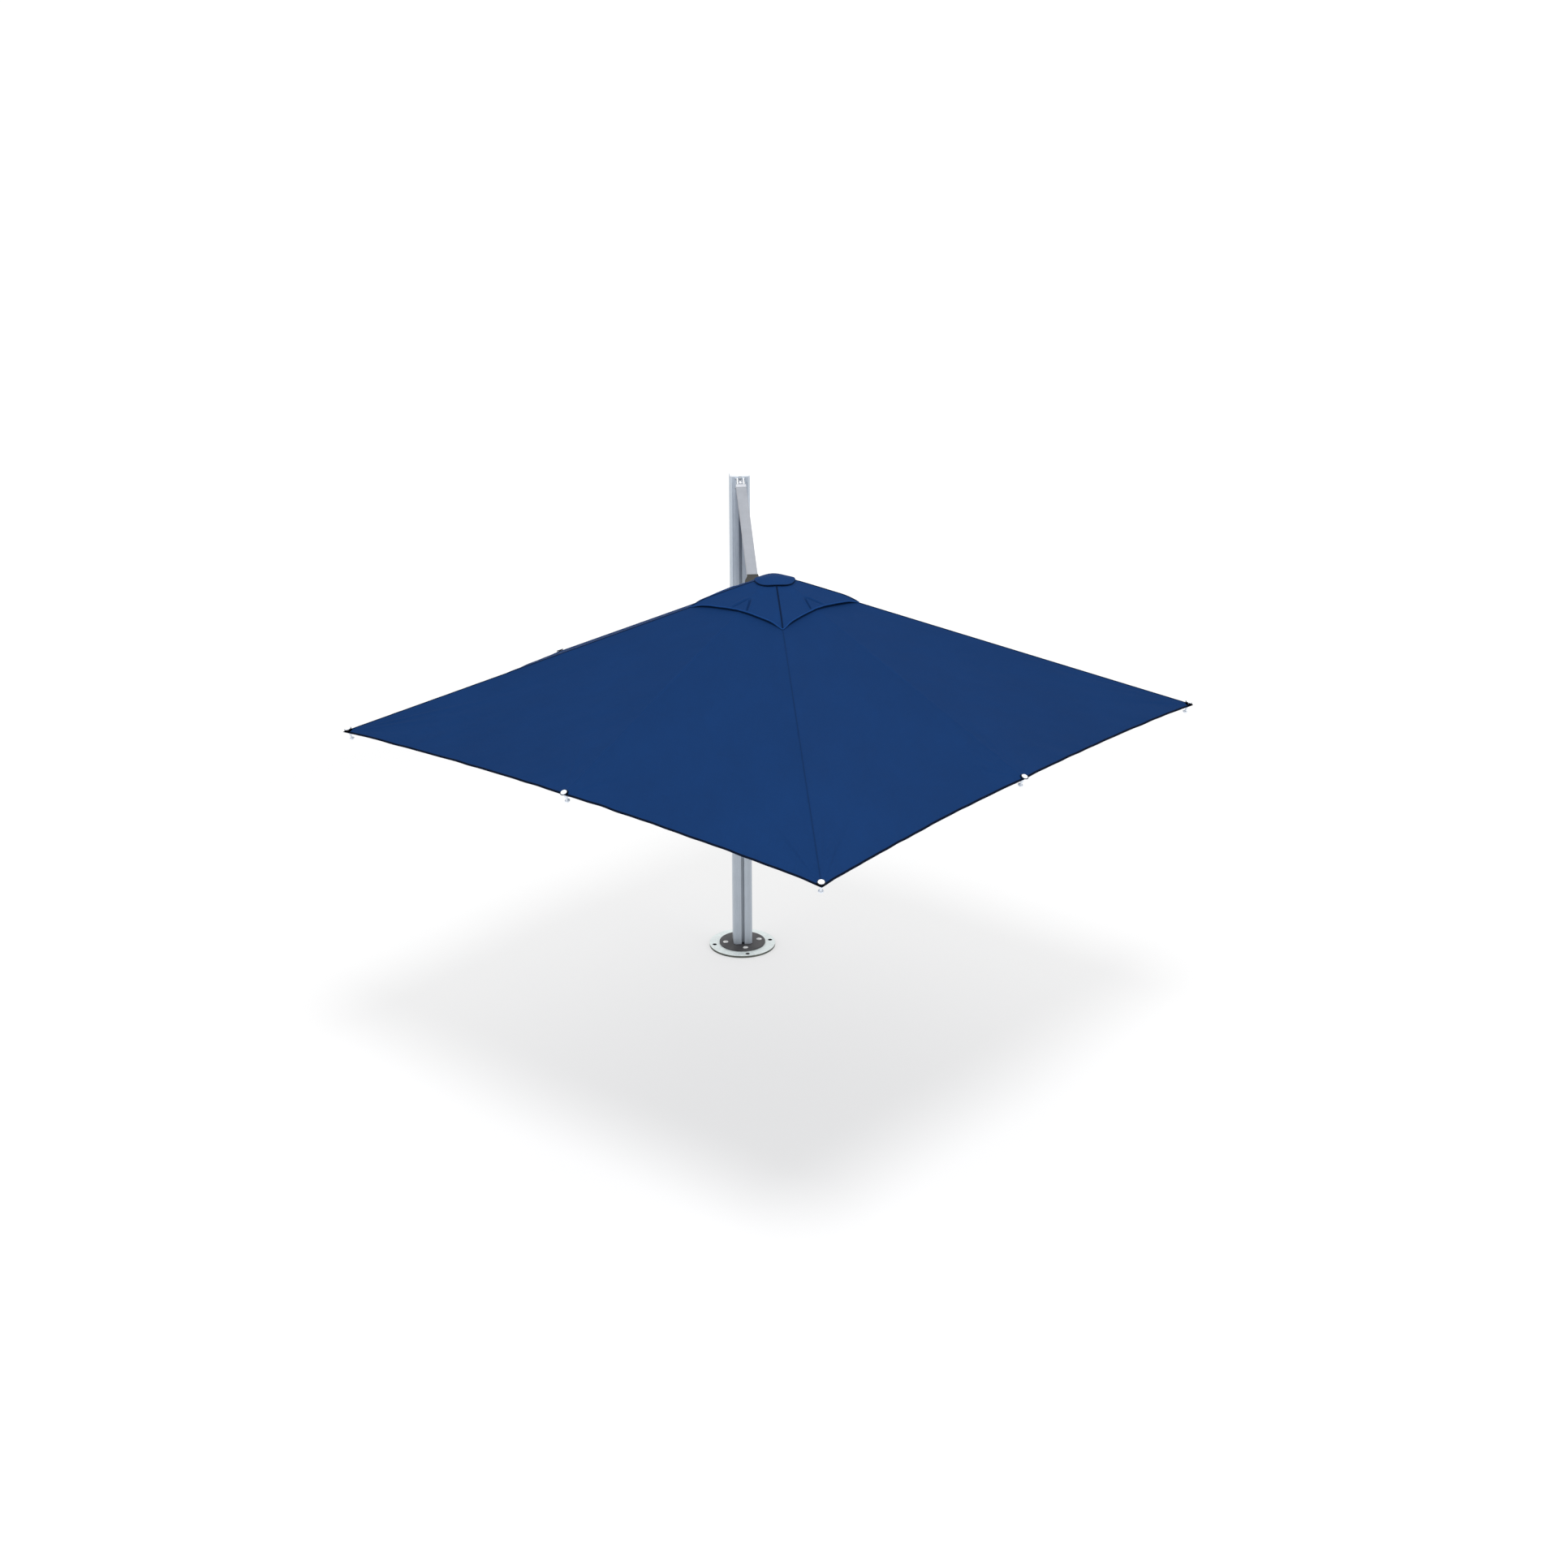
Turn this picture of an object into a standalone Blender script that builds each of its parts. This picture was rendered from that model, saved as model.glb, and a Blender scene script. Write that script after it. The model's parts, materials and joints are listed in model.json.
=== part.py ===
"""Cantilever parasol: a square canopy hung beside a slotted mast on a folding arm.

Metres, +Z up.  The origin is the centre of the base plate's underside, the mast
stands along +Z and the arm reaches out along -Y.  Everything above the foot is
built in the arm's own frame (x forward along the arm, y to the right, z up),
which the swivel axle at the origin turns to face -Y.
"""
import bpy
import bmesh
from math import atan, cos, pi, radians, sin, tan
from mathutils import Matrix, Vector

GAP = 0.0003                     # clearance between pieces that touch

# Foot
PLATE_RADIUS = 0.205
PLATE_THICK = 0.016
PLATE_HOLE_RADIUS = 0.011
PLATE_HOLE_RING = 0.176
FLANGE_RADIUS = 0.1425
FLANGE_THICK = 0.010
PLATE_RIM = 0.002                # bevel round the plate's upper edge
BOLT_RING = 0.106
BOLT_RADIUS = 0.005
BOLT_DEPTH = 0.018
TAPPED_DEPTH = 0.010             # of the bolts' threads in the plate
WASHER_RADIUS = 0.0165
WASHER_THICK = 0.002
HEAD_RADIUS = 0.008
HEAD_HEIGHT = 0.0075
COLLAR_RADIUS = 0.034
FOOT_TURN = radians(6)           # the bolt pattern against the arm at rest
SPINDLE_RADIUS = 0.022
SPINDLE_HEIGHT = 0.50

# Mast
MAST_HALF = 0.058
MAST_CHAMFER = 0.012
MAST_WALL = 0.004
MAST_FOOT = 0.028
MAST_TOP = 3.0
SLOT_HALF = 0.009
CHANNEL_HALF = 0.020
CHANNEL_DEPTH = 0.028
SLOT_LIP = 0.006
CAP_THICK = 0.012
CAP_BEVEL = 0.003
BUSH_HEIGHT = 0.035
BUSH_SLACK = 0.0005
BUSH_CHAMFER = 0.010
BRACKET_HALF = 0.030
BRACKET_LOW, BRACKET_HIGH = 2.925, 2.9985
BRACKET_PLATE = 0.006
CHEEK_THICK = 0.006

# Arm linkage: a link of one length and a boom whose inner half has the same
# length keep the carriage on a vertical line below the top pivot.
PIVOT_REACH = 0.100              # from the mast's axis to the arm's pivots
TOP_PIVOT_HEIGHT = 2.970
HUB_REACH = 2.250
HUB_PIVOT_HEIGHT = 2.905
ARM_TILT = radians(22)           # link below, boom above the horizontal
ARM_SPAN = (HUB_REACH - PIVOT_REACH) / cos(ARM_TILT)
ARM_DROP = (TOP_PIVOT_HEIGHT - HUB_PIVOT_HEIGHT) / sin(ARM_TILT)
LINK_LENGTH = (ARM_SPAN + ARM_DROP) / 2
BOOM_OUTER = (ARM_SPAN - ARM_DROP) / 2
PIN_RADIUS = 0.006
PIN_HOLE = 0.0065
PIN_HEAD = 0.0105
TOP_PIN_HEAD = 0.0095
PIN_HEAD_THICK = 0.004
LINK_WIDTH = 0.058
LINK_DEPTH = 0.025
LINK_WALL = 0.0025
TONGUE_HALF = 0.014
SLIDING_GAP = 0.0005             # between a tongue and the cheeks that it turns in
FORK_START = 0.870
FORK_LEG_INNER = 0.030
FORK_LEG_OUTER = 0.042
FORK_HALF_DEPTH = 0.018
FORK_ROOT_HALF = 0.031
FORK_SHOULDER = 0.050            # from the fork's start to its full width
FORK_CROTCH = 0.080
FORK_END = 0.022                 # beyond its pivot
RAIL_INNER = 0.0165
RAIL_OUTER = 0.0285
RAIL_HALF_DEPTH = 0.0225

# Canopy frame
PIVOT_RING = 0.075               # rib pivots at the hub, stretchers at the runner
RIB_PIVOT_HEIGHT = 2.962
CORNER_TILT = radians(18.93)
MID_TILT = radians(24.97)
CLOSED_TILT = radians(84)
CANOPY_SIDE = 3.0
TIP_INSET = 0.006                # the tips stand this far inside the square's edge
MID_TIP = CANOPY_SIDE / 2 - TIP_INSET
CORNER_TIP = MID_TIP * 2 ** 0.5  # both measured from the canopy's axis
RIB_HALF_WIDTH = 0.010
RIB_BOTTOM = 0.010               # the rib tube lies above its line of pivots
RIB_TOP = 0.031
RIB_WALL = 0.002
RIB_EYE = 0.0095                 # radius of the rounded ends about the pivots
RIB_HOLE = 0.003
RIB_START = 0.030                # from the pivot to the tube
RIB_SOCKET = 0.030               # length of the tip's socket in the tube
STRETCHER_INNER, STRETCHER_OUTER = 0.0046, 0.0106
STRETCHER_EDGE = 0.009
TIP_BUTTON = 0.0150
TIP_STEM = 0.0050
TIP_FOOT = 0.0130
HUB_RADIUS = 0.050
HUB_NECK = 0.042
HUB_HALF = 0.014
LUG_START, LUG_END = 0.040, 0.087
LUG_INNER, LUG_OUTER = 0.0050, 0.0090
RUNNER_RADIUS = 0.026
RUNNER_END_RADIUS = 0.020
RUNNER_END = 0.022
RUNNER_LUG = 0.004
STRETCHER_CORNER = 0.550
SINE_RISE = sin(CLOSED_TILT) - sin(CORNER_TILT)
STRETCHER_MID = STRETCHER_CORNER * SINE_RISE / (sin(CLOSED_TILT) - sin(MID_TILT))
RUNNER_TIER = 2 * sin(CLOSED_TILT) * (STRETCHER_MID - STRETCHER_CORNER)
DRIVE_OFFSET = 0.612             # from the hub pivot back along the boom
DRIVE_DROP = 0.160               # from the runner's upper lugs to its drive boss
DRIVE_HALF_WIDTH = 0.010
DRIVE_THICK = 0.006
DRIVE_HOLE = 0.0045
SPACER_LOWER = 0.12              # from the carriage pivot
SPACER_UPPER = 0.20              # from the hub pivot

# Carriage
SLIDE_GAP = 0.0008               # between the carriage and the mast's face
PLATE_HALF_WIDTH = 0.052
PLATE_LOW, PLATE_HIGH = -0.095, 0.050
PLATE_DEPTH = 0.0155
BLOCK_LOW, BLOCK_HIGH = -0.080, 0.035
BLOCK_GAP = 0.001
HANDLE_RADIUS = 0.009
HANDLE_HALF = 0.040
HANDLE_REACH = 0.030
HANDLE_TOP, HANDLE_BOTTOM = -0.082, -0.36
HANDLE_BEND = 0.022
KNOB_HEIGHT = -0.052
KNOB_RADIUS = 0.024
KNOB_LOBE = 0.004
KNOB_LOBES = 5
KNOB_BACK, KNOB_FRONT = 0.010, 0.032
KNOB_HUB = 0.011

# Fabric
FABRIC_THICK = 0.0015
APEX_CORNER = 3.0275             # where the corner and mid ridges would meet the axis
APEX_MID = 3.0385
CORNER_SLOPE = tan(CORNER_TILT)
MID_SLOPE = tan(MID_TILT)
HEM_SCALLOP = 0.025
HEM_BEYOND_CORNER = 0.028        # the hem runs outside the tips' stems
HEM_BEYOND_MID = 0.020
STEM_HOLE = 0.0065
VENT_OPENING = 0.30
VENT_CORNER = 0.420
VENT_CENTRE = 0.045
VENT_LIFT = 0.018
VENT_CENTRE_HEIGHT = 3.010
VENT_SCALLOP = 0.018
CROWN_RADIUS = 0.097
CROWN_RISE = 0.024
CROWN_RIM = 0.003
SLOT_CENTRE = 1.2300             # of the slot for the link's fork, behind the canopy's axis
SLOT_LENGTH_HALF = 0.065

CORNERS = {"front": 0, "right": 90, "back": 180, "left": 270}
MIDS = {"front_right": 45, "back_right": 135, "back_left": 225, "front_left": 315}

FINISHES = {                     # colour, roughness, metallic
    "galvanised": ((0.62, 0.66, 0.66), 0.45, 0.9),
    "cast": ((0.05, 0.05, 0.055), 0.6, 0.4),
    "anodised": ((0.36, 0.41, 0.47), 0.35, 0.9),
    "arm": ((0.45, 0.46, 0.49), 0.45, 0.6),
    "fork": ((0.045, 0.042, 0.036), 0.6, 0.2),
    "steel": ((0.60, 0.60, 0.62), 0.3, 1.0),
    "polymer": ((0.03, 0.03, 0.035), 0.55, 0.0),
    "white": ((0.80, 0.82, 0.84), 0.4, 0.0),
    "cloth": ((0.012, 0.045, 0.16), 0.85, 0.0),
}


# Shape helpers

def clear_scene():
    for item in list(bpy.data.objects):
        bpy.data.objects.remove(item, do_unlink=True)


def circle(centre, radius, count):
    return [(centre[0] + radius * cos(2 * pi * i / count),
             centre[1] + radius * sin(2 * pi * i / count)) for i in range(count)]


def stadium(start, end, radius, count=6):
    """Outline of a bar with round ends, lying along the first axis."""
    right = [(end + radius * cos(a), radius * sin(a))
             for a in (pi * (i / count - 0.5) for i in range(count + 1))]
    left = [(start - radius * cos(a), -radius * sin(a))
            for a in (pi * (i / count - 0.5) for i in range(count + 1))]
    return right + left


def chamfered(low, high, size):
    """Outline of a rectangle with its corners cut off."""
    (x0, y0), (x1, y1) = low, high
    return [(x0 + size, y0), (x1 - size, y0), (x1, y0 + size), (x1, y1 - size),
            (x1 - size, y1), (x0 + size, y1), (x0, y1 - size), (x0, y0 + size)]


PLANES = {"xy": (Vector((1, 0, 0)), Vector((0, 1, 0)), Vector((0, 0, 1))),
          "xz": (Vector((1, 0, 0)), Vector((0, 0, 1)), Vector((0, 1, 0))),
          "yz": (Vector((0, 1, 0)), Vector((0, 0, 1)), Vector((1, 0, 0)))}


def extruded(loops, span, plane="xy", mesh=None):
    """A prism from an outline and any holes in it, between two offsets."""
    across, up, out = PLANES[plane]
    mesh = mesh or bmesh.new()
    edges = []
    for loop in loops:
        ring = [mesh.verts.new(across * u + up * v + out * span[0]) for u, v in loop]
        edges += [mesh.edges.new((a, b)) for a, b in zip(ring, ring[1:] + ring[:1])]
    face = bmesh.ops.triangle_fill(mesh, use_beauty=True, edges=edges)["geom"]
    region = [part for part in face if isinstance(part, bmesh.types.BMFace)]
    walls = bmesh.ops.extrude_face_region(mesh, geom=region, use_keep_orig=True)["geom"]
    moved = [part for part in walls if isinstance(part, bmesh.types.BMVert)]
    bmesh.ops.translate(mesh, verts=moved, vec=out * (span[1] - span[0]))
    bmesh.ops.recalc_face_normals(mesh, faces=mesh.faces)
    return mesh


def box(low, high, mesh=None, turn=0):
    """A block between two corners, turned about z."""
    mesh = mesh or bmesh.new()
    size = Vector(high) - Vector(low)
    middle = (Vector(high) + Vector(low)) / 2
    stretch = Matrix.Translation(middle) @ Matrix.Diagonal((*size, 1))
    bmesh.ops.create_cube(mesh, size=1, matrix=Matrix.Rotation(turn, 4, "Z") @ stretch)
    return mesh


def turned(profile, count, axis="Z"):
    """A solid of revolution about z or y, from (radius, height) points, end to end."""
    mesh = bmesh.new()
    line = [mesh.verts.new((radius, 0, height)) for radius, height in profile]
    edges = [mesh.edges.new(pair) for pair in zip(line, line[1:])]
    bmesh.ops.spin(mesh, geom=line + edges, cent=(0, 0, 0), axis=(0, 0, 1),
                   angle=2 * pi, steps=count, use_merge=True)
    bmesh.ops.remove_doubles(mesh, verts=mesh.verts, dist=0.00001)
    if axis == "Y":
        bmesh.ops.rotate(mesh, verts=mesh.verts, matrix=Matrix.Rotation(-pi / 2, 3, "X"))
    bmesh.ops.recalc_face_normals(mesh, faces=mesh.faces)
    return mesh


def finish_for(name, kind):
    colour, roughness, metallic = FINISHES[kind]
    material = bpy.data.materials.new(name + "_finish")
    material.use_nodes = True
    shader = material.node_tree.nodes["Principled BSDF"]
    shader.inputs["Base Color"].default_value = (*colour, 1)
    shader.inputs["Roughness"].default_value = roughness
    shader.inputs["Metallic"].default_value = metallic
    return material


def place(item, parent, location=(0, 0, 0), rotation=(0, 0, 0)):
    bpy.context.scene.collection.objects.link(item)
    item.parent = parent
    item.location = location
    item.rotation_euler = rotation
    return item


def axle(name, parent, location=(0, 0, 0), rotation=(0, 0, 0)):
    """An empty on a joint's axis, which the pieces that turn there hang from."""
    return place(bpy.data.objects.new(name, None), parent, location, rotation)


def piece(name, mesh, parent, kind, location=(0, 0, 0), rotation=(0, 0, 0), smooth=False):
    data = bpy.data.meshes.new(name)
    mesh.to_mesh(data)
    mesh.free()
    if smooth:
        data.shade_smooth()
        data.set_sharp_from_angle(angle=radians(35))
    data.materials.append(finish_for(name, kind))
    return place(bpy.data.objects.new(name, data), parent, location, rotation)


def combine(target, mesh, operation):
    """Add another shape to a piece, or cut it away, by a Boolean."""
    data = bpy.data.meshes.new(target.name + "_tool")
    mesh.to_mesh(data)
    mesh.free()
    tool = bpy.data.objects.new(target.name + "_tool", data)
    place(tool, target.parent, target.location, target.rotation_euler)
    tool.hide_render = True
    tool.display_type = "WIRE"
    modifier = target.modifiers.new(operation.title(), "BOOLEAN")
    modifier.operation = operation
    modifier.solver = "EXACT"
    modifier.object = tool
    return target


def unite(target, mesh):
    return combine(target, mesh, "UNION")


def cut(target, mesh):
    return combine(target, mesh, "DIFFERENCE")


def headed_pin(half_length, head_radius, head, radius=PIN_RADIUS):
    return turned([(0, -half_length - head), (head_radius, -half_length - head),
                   (head_radius, -half_length), (radius, -half_length), (radius, half_length),
                   (head_radius, half_length), (head_radius, half_length + head),
                   (0, half_length + head)], 12, "Y")


# Foot

def build_foot():
    foot = axle("foot", None, rotation=(0, 0, FOOT_TURN - pi / 2))
    plate = turned([(0, 0), (PLATE_RADIUS, 0), (PLATE_RADIUS, PLATE_THICK - PLATE_RIM),
                    (PLATE_RADIUS - PLATE_RIM, PLATE_THICK), (0, PLATE_THICK)], 48)
    plate = piece("base_plate", plate, foot, "galvanised", smooth=True)
    holes = bmesh.new()
    for i in range(4):
        u, v = cos(i * pi / 2), sin(i * pi / 2)
        through = circle((u * PLATE_HOLE_RING, v * PLATE_HOLE_RING), PLATE_HOLE_RADIUS, 12)
        extruded([through], (-0.01, PLATE_THICK + 0.01), "xy", holes)
        tapped = circle((u * BOLT_RING, v * BOLT_RING), BOLT_RADIUS + GAP, 12)
        extruded([tapped], (PLATE_THICK - TAPPED_DEPTH, PLATE_THICK + 0.01), "xy", holes)
    cut(plate, holes)

    flange_low = PLATE_THICK + GAP
    flange_high = flange_low + FLANGE_THICK
    loops = [circle((0, 0), FLANGE_RADIUS, 48)]
    for i in range(4):
        centre = (cos(i * pi / 2) * BOLT_RING, sin(i * pi / 2) * BOLT_RING)
        loops.append(circle(centre, BOLT_RADIUS + GAP, 12))
    piece("foot_flange", extruded(loops, (flange_low, flange_high)), foot, "cast")

    seat = flange_high + GAP
    bolt = [(0, seat - BOLT_DEPTH), (BOLT_RADIUS, seat - BOLT_DEPTH), (BOLT_RADIUS, seat),
            (WASHER_RADIUS, seat), (WASHER_RADIUS, seat + WASHER_THICK), (HEAD_RADIUS, seat + WASHER_THICK),
            (HEAD_RADIUS, seat + 0.8 * HEAD_HEIGHT), (HEAD_RADIUS / 2, seat + HEAD_HEIGHT),
            (0, seat + HEAD_HEIGHT)]
    for i in range(4):
        where = (cos(i * pi / 2) * BOLT_RING, sin(i * pi / 2) * BOLT_RING, 0)
        piece(f"flange_bolt_{i + 1}", turned(bolt, 12), foot, "steel", where, smooth=True)

    collar = [(0, seat), (COLLAR_RADIUS, seat), (COLLAR_RADIUS, seat + 0.0005), (SPINDLE_RADIUS, seat + 0.0008),
              (SPINDLE_RADIUS, SPINDLE_HEIGHT - 0.004), (SPINDLE_RADIUS - 0.004, SPINDLE_HEIGHT),
              (0, SPINDLE_HEIGHT)]
    piece("swivel_spindle", turned(collar, 16), foot, "steel", smooth=True)


# Mast

def mast_loops():
    """The extrusion's section: chamfered square, T slot in its front, one hollow behind it."""
    half, cham, lip = MAST_HALF, MAST_CHAMFER, SLOT_LIP
    floor = half - CHANNEL_DEPTH
    outer = chamfered((-half, -half), (half, half), cham)
    slot = [(half, -SLOT_HALF), (half - lip, -SLOT_HALF), (half - lip, -CHANNEL_HALF),
            (floor, -CHANNEL_HALF), (floor, CHANNEL_HALF), (half - lip, CHANNEL_HALF),
            (half - lip, SLOT_HALF), (half, SLOT_HALF)]
    outer = outer[:3] + slot + outer[3:]
    inner = half - MAST_WALL
    bend = cham - MAST_WALL * (2 - 2 ** 0.5)
    side = CHANNEL_HALF + MAST_WALL
    hollow = [(-inner + bend, -inner), (inner - bend, -inner), (inner, -inner + bend),
              (inner, -side), (floor - MAST_WALL, -side), (floor - MAST_WALL, side),
              (inner, side), (inner, inner - bend), (inner - bend, inner),
              (-inner + bend, inner), (-inner, inner - bend), (-inner, -inner + bend)]
    return [outer, hollow]


def build_mast(turn):
    piece("mast_profile", extruded(mast_loops(), (MAST_FOOT, MAST_TOP)), turn, "anodised")

    cap = chamfered((-MAST_HALF, -MAST_HALF), (MAST_HALF, MAST_HALF), MAST_CHAMFER)
    cap = extruded([cap], (MAST_TOP + GAP, MAST_TOP + CAP_THICK))
    cap = piece("mast_cap", cap, turn, "white")
    bevel = cap.modifiers.new("Bevel", "BEVEL")
    bevel.width = CAP_BEVEL
    bevel.segments = 1
    bevel.angle_limit = radians(60)

    back = -MAST_HALF + MAST_WALL + BUSH_SLACK
    front = MAST_HALF - CHANNEL_DEPTH - MAST_WALL - BUSH_SLACK
    bore = circle((0, 0), SPINDLE_RADIUS + 3 * BUSH_SLACK, 24)
    bush = [chamfered((back, back), (front, -back), BUSH_CHAMFER), bore]
    for name, low in (("bush_lower", MAST_FOOT + 0.004), ("bush_upper", SPINDLE_HEIGHT - 0.05)):
        piece(name, extruded(bush, (low, low + BUSH_HEIGHT)), turn, "polymer")

    face = MAST_HALF + GAP
    outline = chamfered((-BRACKET_HALF, BRACKET_LOW), (BRACKET_HALF, BRACKET_HIGH), 0.006)
    bracket = extruded([outline], (face, face + BRACKET_PLATE), "yz")
    bracket = piece("top_bracket", bracket, turn, "white")
    cheeks = bmesh.new()
    height = TOP_PIVOT_HEIGHT
    nose = stadium(face + 0.004, PIVOT_REACH, TONGUE_HALF)
    nose = [(max(u, face + 0.003), v + height) for u, v in nose]
    for side in (-1, 1):
        inner = TONGUE_HALF + 0.0007
        outer = inner + CHEEK_THICK
        span = (inner, outer) if side > 0 else (-outer, -inner)
        extruded([nose, circle((PIVOT_REACH, height), PIN_HOLE, 12)], span, "xz", cheeks)
    unite(bracket, cheeks)
    pin = headed_pin(TONGUE_HALF + 0.0071, TOP_PIN_HEAD, PIN_HEAD_THICK)
    piece("top_pin", pin, turn, "steel", (PIVOT_REACH, 0, height), smooth=True)


# Arm

def build_link(fold):
    half, depth = LINK_WIDTH / 2, LINK_DEPTH / 2
    inner = LINK_WALL
    section = [chamfered((-half, -depth), (half, depth), 0.003),
               chamfered((-half + inner, -depth + inner), (half - inner, depth - inner), 0.001)]
    bar = extruded(section, (0.024, FORK_START - GAP), "yz")
    bar = piece("link_bar", bar, fold, "arm")
    tongue = extruded([stadium(0, 0.045, depth), circle((0, 0), PIN_HOLE, 12)],
                      (-TONGUE_HALF, TONGUE_HALF), "xz")
    unite(bar, tongue)
    plug_half = half - inner / 2
    unite(bar, box((0.026, -plug_half, -depth + inner / 2), (0.040, plug_half, depth - inner / 2)))

    end = LINK_LENGTH + FORK_END
    shoulder = FORK_START + FORK_SHOULDER
    crotch = FORK_START + FORK_CROTCH
    outline = [(FORK_START, -FORK_ROOT_HALF), (FORK_START + 0.015, -FORK_ROOT_HALF),
               (shoulder, -FORK_LEG_OUTER), (end - 0.008, -FORK_LEG_OUTER), (end, -FORK_LEG_OUTER + 0.004),
               (end, -FORK_LEG_INNER), (crotch + 0.02, -FORK_LEG_INNER), (crotch, -0.016)]
    outline += [(x, -y) for x, y in reversed(outline)]
    fork = extruded([outline], (-FORK_HALF_DEPTH, FORK_HALF_DEPTH))
    fork = piece("link_fork", fork, fold, "fork")
    cut(fork, extruded([circle((LINK_LENGTH, 0), PIN_HOLE, 12)], (-0.06, 0.06), "xz"))

    low, high = RAIL_INNER + SLIDING_GAP, FORK_LEG_OUTER + GAP
    stub = [(0, low), (PIN_RADIUS, low), (PIN_RADIUS, high), (PIN_HEAD, high),
            (PIN_HEAD, high + PIN_HEAD_THICK), (0, high + PIN_HEAD_THICK)]
    for name, turn in (("fork_pin_right", 0), ("fork_pin_left", pi)):
        piece(name, turned(stub, 12, "Y"), fold, "steel", (LINK_LENGTH, 0, 0), (turn, 0, 0), True)


def build_boom(boom):
    loops = [stadium(-LINK_LENGTH, BOOM_OUTER, RAIL_HALF_DEPTH)]
    for x in (-LINK_LENGTH, 0, BOOM_OUTER):
        loops.append(circle((x, 0), PIN_HOLE, 12))
    for name, span in (("boom_rail_right", (RAIL_INNER, RAIL_OUTER)),
                       ("boom_rail_left", (-RAIL_OUTER, -RAIL_INNER))):
        piece(name, extruded(loops, span, "xz"), boom, "arm")
    half = RAIL_INNER - GAP
    places = (("boom_spacer_lower", SPACER_LOWER - LINK_LENGTH),
              ("boom_spacer_upper", BOOM_OUTER - SPACER_UPPER))
    for name, x in places:
        block = extruded([chamfered((x - 0.02, -0.015), (x + 0.02, 0.015), 0.004)], (-half, half), "xz")
        piece(name, block, boom, "polymer")


def build_drive_links(boom):
    """Two flat links from the boom's rails down to the runner."""
    pin = Vector((BOOM_OUTER - DRIVE_OFFSET, 0, 0))
    # the runner's drive boss, seen from the hub pivot in the upright frame
    runner_drop = 2 * STRETCHER_CORNER * sin(CORNER_TILT) + DRIVE_DROP
    boss = Vector((0, 0, RIB_PIVOT_HEIGHT - HUB_PIVOT_HEIGHT - runner_drop))
    start = Vector((-DRIVE_OFFSET * cos(ARM_TILT), 0, -DRIVE_OFFSET * sin(ARM_TILT)))
    reach = boss - start
    tilt = atan(-reach.z / reach.x)
    low = RAIL_OUTER + 0.0006
    high = low + DRIVE_THICK
    for name, span in (("drive_link_right", (low, high)), ("drive_link_left", (-high, -low))):
        hinge = axle(name + "_axis", boom, pin, (0, tilt + ARM_TILT, 0))
        loops = [stadium(0, reach.length, DRIVE_HALF_WIDTH)]
        for x in (0, reach.length):
            loops.append(circle((x, 0), DRIVE_HOLE, 8))
        piece(name, extruded(loops, span, "xz"), hinge, "steel")


def build_carriage(carriage):
    face = MAST_HALF + SLIDE_GAP - PIVOT_REACH
    front = face + PLATE_DEPTH
    outline = chamfered((-PLATE_HALF_WIDTH, PLATE_LOW), (PLATE_HALF_WIDTH, PLATE_HIGH), 0.010)
    plate = piece("carriage", extruded([outline], (face, front), "yz"), carriage, "cast")
    tongue_half = RAIL_INNER - SLIDING_GAP
    tongue = stadium(front - 0.002, 0, 0.018)
    tongue = [(max(u, front - 0.004), v) for u, v in tongue]
    unite(plate, extruded([tongue, circle((0, 0), PIN_HOLE, 12)], (-tongue_half, tongue_half), "xz"))
    pin = headed_pin(RAIL_OUTER + 0.0006, PIN_HEAD, PIN_HEAD_THICK)
    piece("carriage_pin", pin, carriage, "steel", smooth=True)

    inside, lip = face - SLIDE_GAP - SLOT_LIP - BLOCK_GAP, face - GAP
    back = face - SLIDE_GAP - CHANNEL_DEPTH + BLOCK_GAP
    wide, neck = CHANNEL_HALF - BLOCK_GAP, SLOT_HALF - BLOCK_GAP
    block = [(back, -wide), (inside, -wide), (inside, -neck), (lip, -neck),
             (lip, neck), (inside, neck), (inside, wide), (back, wide)]
    piece("slide_block", extruded([block], (BLOCK_LOW, BLOCK_HIGH)), carriage, "polymer")
    build_handle(carriage, front + SLIDING_GAP)


def build_handle(carriage, face):
    """A U-shaped grip that hangs below the carriage, with round bends."""
    half, out = HANDLE_HALF, HANDLE_REACH
    corners = [(face, -half, HANDLE_TOP), (out, -half, HANDLE_TOP), (out, -half, HANDLE_BOTTOM),
               (out, half, HANDLE_BOTTOM), (out, half, HANDLE_TOP), (face, half, HANDLE_TOP)]
    corners = [Vector(point) for point in corners]
    route = [corners[0]]
    for before, here, after in zip(corners, corners[1:], corners[2:]):
        start = here + (before - here).normalized() * HANDLE_BEND
        end = here + (after - here).normalized() * HANDLE_BEND
        for i in range(5):
            t = i / 4
            route.append(start * (1 - t) ** 2 + here * 2 * t * (1 - t) + end * t ** 2)
    route.append(corners[-1])
    curve = bpy.data.curves.new("carriage_handle", "CURVE")
    curve.dimensions = "3D"
    curve.bevel_depth = HANDLE_RADIUS
    curve.bevel_resolution = 2
    curve.use_fill_caps = True
    spline = curve.splines.new("POLY")
    spline.points.add(len(route) - 1)
    for point, where in zip(spline.points, route):
        point.co = (*where, 1)
    curve.materials.append(finish_for("carriage_handle", "polymer"))
    place(bpy.data.objects.new("carriage_handle", curve), carriage)


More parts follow.
